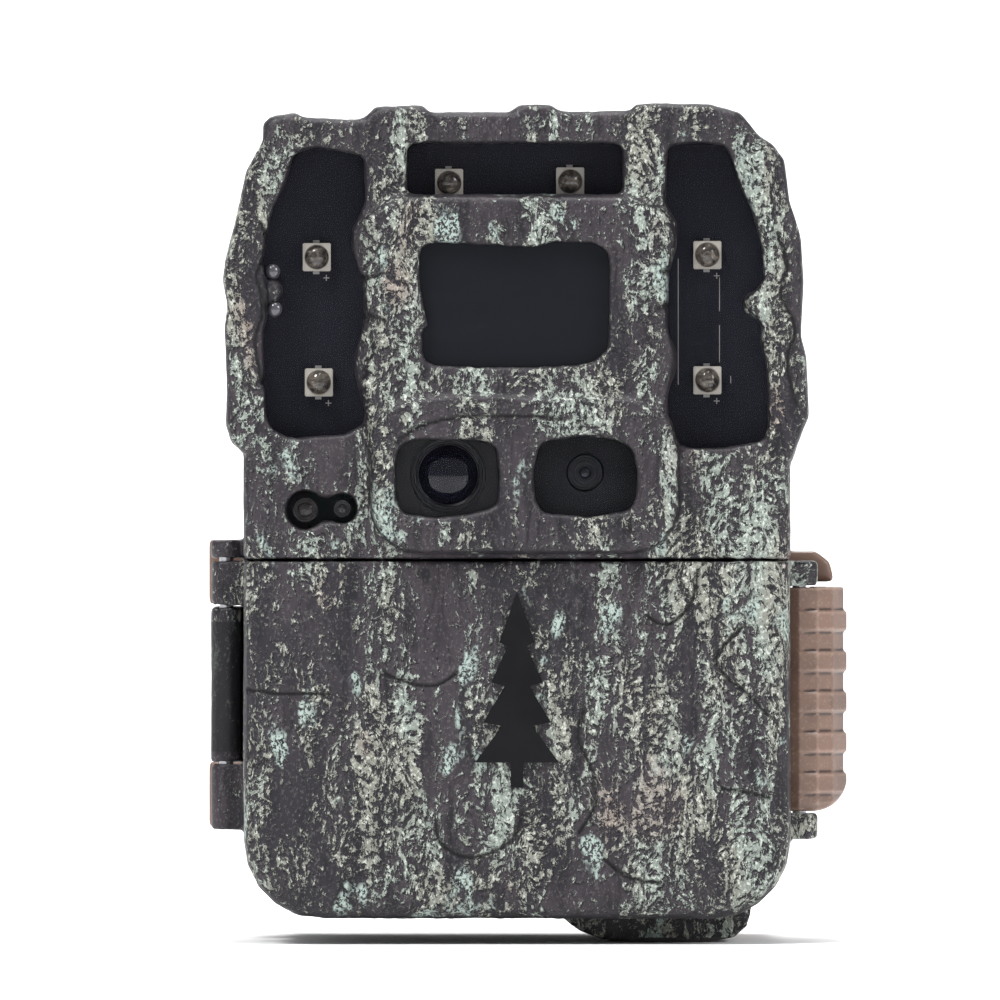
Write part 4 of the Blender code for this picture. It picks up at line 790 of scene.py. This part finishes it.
RELIEF = bark_relief()
CAMOUFLAGE = camouflage("camouflage_film")
BARE = moulded_plastic("bare_plastic", (0.024, 0.021, 0.021), 0.50)
housing = cad_copy("front_housing", "front_housing_moulding")
blobs = bmesh.new()
blobs.from_mesh(housing.data)
for x, y, z, radius in ((-36.6, 2.6, 93.3, 1.8), (32.8, 1.6, 91.3, 2.0), (34.0, 1.4, 90.0, 1.6)):
    blob = bmesh.ops.create_icosphere(blobs, subdivisions=3, radius=radius * MM)["verts"]
    bmesh.ops.translate(blobs, verts=blob, vec=(x * MM, face_y + y * MM, z * MM))
blobs.to_mesh(housing.data)
blobs.free()
round_over(housing, 0.45 * MM, 2)
ease_front(housing, face_y + 1.0 * MM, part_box("door")[1][2] + 4.0 * MM, 24)
housing_cracks = curtains("housing_cracks", [
    [(-24.5, 95.4), (-22.6, 95.0), (-20.5, 95.8)], [(-24.2, 89.3), (-22.0, 89.6), (-20.2, 88.9)],
    [(19.0, 95.9), (21.6, 96.0), (23.4, 95.6)], [(18.6, 90.8), (21.0, 91.1), (22.8, 90.6)],
    [(-38.0, 103.0), (-36.8, 99.0), (-38.6, 95.5), (-37.4, 91.0), (-38.8, 86.0), (-37.6, 80.0)],
    [(35.6, 101.5), (37.0, 97.0), (36.2, 92.5), (38.2, 88.0), (37.0, 83.0), (38.4, 77.0)],
    # The last line is the groove under the hood arch, darkened as painted shade.
    [(-18.5, 71.8), (-15.0, 74.0), (-9.0, 75.3), (-2.0, 75.4), (5.0, 75.0)]])
housing_welts = curtains("housing_welts", [
    [(-22.4, 71.0), (-20.6, 75.0), (-15.0, 77.0), (-6.0, 77.6), (2.0, 77.0), (11.0, 77.4), (18.0, 76.0),
     (21.6, 72.0)]] + [rim + rim[:1] for rim in (around(-31.6, 62.0, 3.5, 16), around(-26.4, 62.2, 2.9, 16))])


def in_housing(spot, normal):
    """Whether a spot lies on the housing's inner faces or under its foot."""
    return spot.z < 0.6 * MM or (spot.y > face_y + 2.6 * MM and 8.6 * MM < spot.z < 115.0 * MM
                                 and abs(spot.x - case_middle) < 36.9 * MM)


give_relief(housing, housing_cracks, housing_welts, 190000, in_housing)
finished(housing, CAMOUFLAGE, "housing", ["front_housing"])
unprinted(housing, in_housing)

pins = bmesh.new()
for x, z in ((-36.3, 96.0), (-36.0, 90.6)):
    turned_shape([(3.6, 0.0), (3.6, 1.15), (1.9, 1.15), (1.5, 1.02), (1.2, 0.7), (1.05, 0.3), (1.02, 0.0)],
                 24, face_y, (x * MM, z * MM), pins)
window_pins = new_piece("window_pins", pins)
window_pins.data.shade_smooth()
PIN_METAL = moulded_plastic("pin_metal", (0.09, 0.09, 0.10), 0.16, 1500, 0.002 * MM, metallic=0.5)
finished(window_pins, PIN_METAL, "housing")

# ---- Seals, screws and tripod insert ----
# Black silicone gaskets, four zinc-plated cross-head screws sunk in the back, and a knurled brass insert
# with a quarter-inch thread in the foot.
RUBBER = moulded_plastic("black_rubber", (0.016, 0.016, 0.017), 0.62, 1500, 0.03 * MM, 0.2)
coat(RUBBER, "case_gasket", "door_gasket", "port_plug")
coat(BLACK, "power_jack", "display_module")
SCREW_NODES = ["case_screw_%d" % number for number in range(1, 5)]
screws, crosses = bmesh.new(), bmesh.new()
for node in SCREW_NODES:
    low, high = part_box(node)
    x, z = middle_of(node)
    length = (high[1] - low[1]) / MM
    turned_shape([(-length, 0.0), (-length, 1.2), (0.4 - length, 1.4), (-1.7, 1.4), (-1.69, 2.5),
                  (-0.35, 2.5), (-0.08, 2.3), (0.0, 1.9), (0.0, 0.0)], 32, high[1], (x, z), screws)
    for wide, tall in ((1.3 * MM, 0.3 * MM), (0.3 * MM, 1.3 * MM)):
        box_shape((x - wide, high[1] - 0.9 * MM, z - tall), (x + wide, high[1] + 1 * MM, z + tall), crosses)
heads = new_piece("case_screws", screws)
cut(heads, new_piece("cross_tool", crosses), joined=True)
heads.data.shade_smooth()
heads.data.set_sharp_from_angle(angle=math.radians(30))
finished(heads, STEEL, "housing", SCREW_NODES)
BRASS = moulded_plastic("brass", (0.62, 0.42, 0.16), 0.28, 1800, 0.006 * MM, 0.1, metallic=1.0)
coat(BRASS, "tripod_insert")

# ---- Control panel ----
# Behind the door: a black ABS panel with a colour display, a cross of rubber-topped keys with white
# printed marks, a tan power slider in its slot, and a spring-loaded socket for the memory card.
panel = cad_copy("control_panel", "control_panel_moulding")
round_over(panel, 0.35 * MM, 2, 90000)
finished(panel, BLACK, "housing", ["control_panel"])
SOCKET_STEEL = moulded_plastic("socket_steel", (0.42, 0.42, 0.43), 0.34, 1200, 0.01 * MM, 0.1, metallic=1.0)
coat(SOCKET_STEEL, "card_socket")

display_low, display_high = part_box("display_module")
screen_face, tree, surface, place = blank("screen_face")
x, y, z = axes(tree, place)
cell = 0.12 * MM
dots = maths(tree, "MULTIPLY", step_up(tree, maths(tree, "PINGPONG", x, cell), 0.2 * cell, 0.5 * cell),
             step_up(tree, maths(tree, "PINGPONG", z, cell), 0.2 * cell, 0.5 * cell))
share = maths(tree, "DIVIDE", maths(tree, "SUBTRACT", z, display_low[2]), display_high[2] - display_low[2])
# Painted glow: the screen's colour brightens towards the top.
painted_screen_glow = blend(tree, step_up(tree, share, 0.1, 0.9), (0.010, 0.014, 0.020), (0.020, 0.030, 0.045))
painted_screen_glow = blend(tree, maths(tree, "MULTIPLY", dots, 0.35), painted_screen_glow, (0.006, 0.007, 0.010))
feed(tree, surface, {"Base Color": painted_screen_glow, "Roughness": 0.15})
inset = 1.6 * MM
screen = new_piece("display_screen", box_shape(
    (display_low[0] + inset, display_low[1] - 0.1 * MM, display_low[2] + inset),
    (display_high[0] - inset, display_low[1] + 0.3 * MM, display_high[2] - inset), bevel=0.05 * MM))
finished(screen, screen_face, "housing")

WHITE_PRINT = moulded_plastic("white_print", (0.55, 0.55, 0.53), 0.5, 1500, 0.01 * MM, 0.08)


def prism(outline, near, far, shape=None):
    """A flat shape with an outline in X and Z, between two depths."""
    shape = shape or bmesh.new()
    sides = [[shape.verts.new((x, depth, z)) for x, z in outline] for depth in (near, far)]
    made = [shape.faces.new(side) for side in sides]
    for first in range(len(outline)):
        second = (first + 1) % len(outline)
        made.append(shape.faces.new((sides[0][first], sides[0][second], sides[1][second], sides[1][first])))
    bmesh.ops.recalc_face_normals(shape, faces=made)
    return shape


arrow = ((1.05, 0.0), (-0.55, 0.85), (-0.55, -0.85))
dot = around(0, 0, 0.75, 24)
bars = [((-0.9, level - 0.13), (0.9, level - 0.13), (0.9, level + 0.13), (-0.9, level + 0.13))
        for level in (-0.55, 0.0, 0.55)]
for name, turn, outlines in (("up", 90, [arrow]), ("down", -90, [arrow]), ("left", 180, [arrow]),
                             ("right", 0, [arrow]), ("enter", 0, [dot]), ("mode", 0, bars)):
    node = "key_" + name
    low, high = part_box(node)
    x, z = middle_of(node)
    length = (high[1] - low[1]) / MM
    key = turned_piece("rubber_key_" + name, [
        (length, 0.0), (length, 1.0), (3.6, 1.0), (3.6, 3.3), (2.8, 3.3), (2.8, 2.6), (0.45, 2.6),
        (0.15, 2.45), (0.0, 2.15), (0.02, 1.6), (0.12, 0.9), (0.16, 0.0)], 40, low[1], (x, z), 40)
    finished(key, RUBBER, node, [node])
    mark = bmesh.new()
    across, up = math.cos(math.radians(turn)), math.sin(math.radians(turn))
    for outline in outlines:
        prism([(x + (a * across - b * up) * MM, z + (a * up + b * across) * MM) for a, b in outline],
              low[1], low[1] + 0.22 * MM, mark)
    finished(new_piece("key_mark_" + name, mark), WHITE_PRINT, node)

knob_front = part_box("power_switch")[0][1]
knob_x, knob_z = middle_of("power_switch")
knob = cad_copy("power_switch", "power_switch_moulding")
rib_pitch, rib_half, rib_reach = 0.8 * MM, 0.18 * MM, 1.0 * MM
knob_ribs = bmesh.new()
for rib in range(4):
    x = knob_x + (rib - 1.5) * rib_pitch
    box_shape((x - rib_half, knob_front - 0.25 * MM, knob_z - rib_reach),
              (x + rib_half, knob_front + 0.3 * MM, knob_z + rib_reach), knob_ribs)
knob_ribs.from_mesh(knob.data)
knob_ribs.to_mesh(knob.data)
knob_ribs.free()
round_over(knob, 0.09 * MM, 2, 24000)
finished(knob, TAN, "power_switch", ["power_switch"])

card_low, card_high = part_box("memory_card")
card_label, tree, surface, place = blank("card_label")
x, y, z = axes(tree, place)
on_label = maths(tree, "MULTIPLY", step_up(tree, z, card_low[2] + 3.0 * MM, card_low[2] + 3.05 * MM),
                 maths(tree, "LESS_THAN", y, card_low[1] + 0.05 * MM))
fibres = noise(tree, scaled(tree, place, (1200, 1200, 1200)), 2.0)
feed(tree, surface, {"Base Color": blend(tree, on_label, (0.014, 0.014, 0.016), (0.07, 0.085, 0.10)),
                     "Roughness": maths(tree, "MULTIPLY_ADD", fibres, 0.15, 0.35)})
raise_bump(tree, surface, fibres, 0.01 * MM, 0.5)
coat(card_label, "memory_card")
contacts = bmesh.new()
finger_half, finger_pitch = 0.75 * MM, 2.35 * MM
for finger in range(9):
    x = card_low[0] + 2.6 * MM + finger * finger_pitch
    end = 1.2 * MM if finger < 7 else 3.2 * MM
    box_shape((x - finger_half, card_high[1] - 0.06 * MM, card_high[2] - 5.6 * MM),
              (x + finger_half, card_high[1] + 0.04 * MM, card_high[2] - end), contacts)
finished(new_piece("card_contacts", contacts), BRASS, "memory_card")

# ---- Door ----
# The lower front cover, moulded and filmed like the housing, with its hinge knuckles and latch lugs.
# Cracks and the edges of bark plates are moulded into its face, and a black badge is let in.
door = cad_copy("door", "door_moulding")
round_over(door, 0.4 * MM, 2)
face_mm = face_y / MM
door_cracks = curtains("door_cracks", [
    [(-41.0, 36.6), (-36.0, 35.9), (-31.0, 35.8), (-28.0, 35.6)],
    [(-20.5, 38.8), (-17.0, 37.4), (-13.0, 37.0), (-10.0, 38.8)],
    [(17.0, 47.0), (20.0, 45.6), (23.4, 48.8), (24.4, 53.5)],
    [(30.8, 45.4), (27.0, 41.2), (28.0, 38.6), (31.4, 35.8), (34.4, 32.6)],
    [(-13.0, 17.6), (-12.2, 14.4), (-8.0, 12.4), (-2.5, 14.6), (-0.6, 18.8)],
    [(7.4, 16.0), (9.6, 20.0), (9.2, 25.0), (7.2, 29.5), (8.2, 34.0)],
    [(27.6, 22.4), (31.0, 21.8), (34.6, 21.0)], [(11.0, 12.2), (14.5, 9.6), (19.0, 8.8)]],
    far=face_mm + 1.4)
door_welts = curtains("door_welts", [
    [(-29.7, 47.5), (-27.6, 43.5), (-26.2, 39.0)],
    [(-11.5, 20.0), (-9.4, 27.0), (-8.0, 33.0), (-9.0, 38.0), (-6.0, 42.5)],
    [(12.8, 51.0), (16.0, 45.0), (19.5, 38.0)], [(21.5, 26.0), (22.3, 19.0), (22.0, 12.0)],
    [(-32.0, 30.0), (-31.0, 21.0), (-32.5, 12.0)], [(34.5, 27.0), (33.6, 20.0), (34.8, 13.0)]],
    far=face_mm + 0.6)


def in_door(spot, normal):
    """Whether a spot lies on the door's inner faces."""
    return (spot.y > face_y + 1.9 * MM and abs(spot.x - case_middle) < 37.2 * MM
            and 5.6 * MM < spot.z < 53.8 * MM and (normal.y > 0.3 or spot.y > face_y + 3 * MM))


give_relief(door, door_cracks, door_welts, 180000, in_door)
finished(door, CAMOUFLAGE, "door", ["door"])
unprinted(door, in_door)
coat(STEEL, "hinge_pin", "latch_pin")

badge = cad_copy("emblem", "emblem_badge")
round_over(badge, 0.06 * MM, 2, 60000)
BADGE_BLACK = moulded_plastic("badge_black", (0.0045, 0.0045, 0.0055), 0.34, 1800, 0.008 * MM, 0.1,
                              shine=0.12)
finished(badge, BADGE_BLACK, "door", ["emblem"])

# ---- Latch ----
# The tan lever that snaps over the catch: glass-filled nylon with faceted grip ribs and a round toe.
lever = cad_copy("latch_lever", "latch_lever_moulding")
lever_low, lever_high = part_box("latch_lever")
toe = 5.0 * MM
spare = 1 * MM
toe_x, toe_z = lever_high[0] + 0.1 * MM - toe, lever_low[2] + toe
outline = [(lever_low[0] - spare, lever_high[2] + spare), (lever_low[0] - spare, lever_low[2] - spare),
           (toe_x, lever_low[2] - spare)]
for step in range(9):
    turn = math.pi / 2 * step / 8
    outline.append((toe_x + toe * math.sin(turn), toe_z - toe * math.cos(turn)))
outline.append((lever_high[0] + spare, lever_high[2] + spare))
keep_tool = new_piece("keep_tool", prism(outline, lever_low[1] - spare, lever_high[1] + spare))
cut(lever, keep_tool, "INTERSECT")
round_over(lever, 0.16 * MM, 2, 110000)
# Measures how far each point sits in a crease, for painted shade in the creases and a painted highlight on
# the rib tops.
creases = bmesh.new()
creases.from_mesh(lever.data)
levels = [sum((edge.other_vert(corner).co - corner.co).dot(corner.normal) / edge.calc_length()
              for edge in corner.link_edges) / len(corner.link_edges) for corner in creases.verts]
for passes in range(6):
    beside = [sum(levels[edge.other_vert(corner).index] for edge in corner.link_edges)
              / len(corner.link_edges) for corner in creases.verts]
    levels = [0.4 * own + 0.6 * others for own, others in zip(levels, beside)]
creases.free()
lever.data.attributes.new("concavity_for_painted_shading", "FLOAT", "POINT").data.foreach_set("value", levels)
LEVER_TAN, tree, surface, place = blank("lever_tan")
depth = add_node(tree, "ShaderNodeAttribute", attribute_name="concavity_for_painted_shading").outputs["Fac"]
grit = noise(tree, scaled(tree, place, (2600, 2600, 2600)), 3.0, 0.6)
patches = noise(tree, scaled(tree, place, (160, 160, 160)), 2.0)
tan = blend(tree, step_up(tree, patches, 0.3, 0.7), (0.120, 0.072, 0.053), (0.180, 0.110, 0.083))
sparkle = maths(tree, "MULTIPLY", step_up(tree, grit, 0.56, 0.64), 0.35)
tan = blend(tree, sparkle, tan, (0.30, 0.22, 0.18))
# Painted shade: darker in the creases between the grip ribs.
tan = blend(tree, step_up(tree, depth, 0.008, 0.045), tan, (0.030, 0.016, 0.012))
# Painted highlight: lighter on the rib tops and convex edges.
rib_painted_highlight = step_up(tree, maths(tree, "MULTIPLY", depth, -1.0), 0.012, 0.06)
tan = blend(tree, maths(tree, "MULTIPLY", rib_painted_highlight, 0.45), tan, (0.36, 0.25, 0.20))
feed(tree, surface, {"Base Color": tan, "Roughness": maths(tree, "MULTIPLY_ADD", grit, 0.20, 0.28)})
raise_bump(tree, surface, grit, 0.03 * MM, 0.5)
finished(lever, LEVER_TAN, "latch", ["latch_lever"])
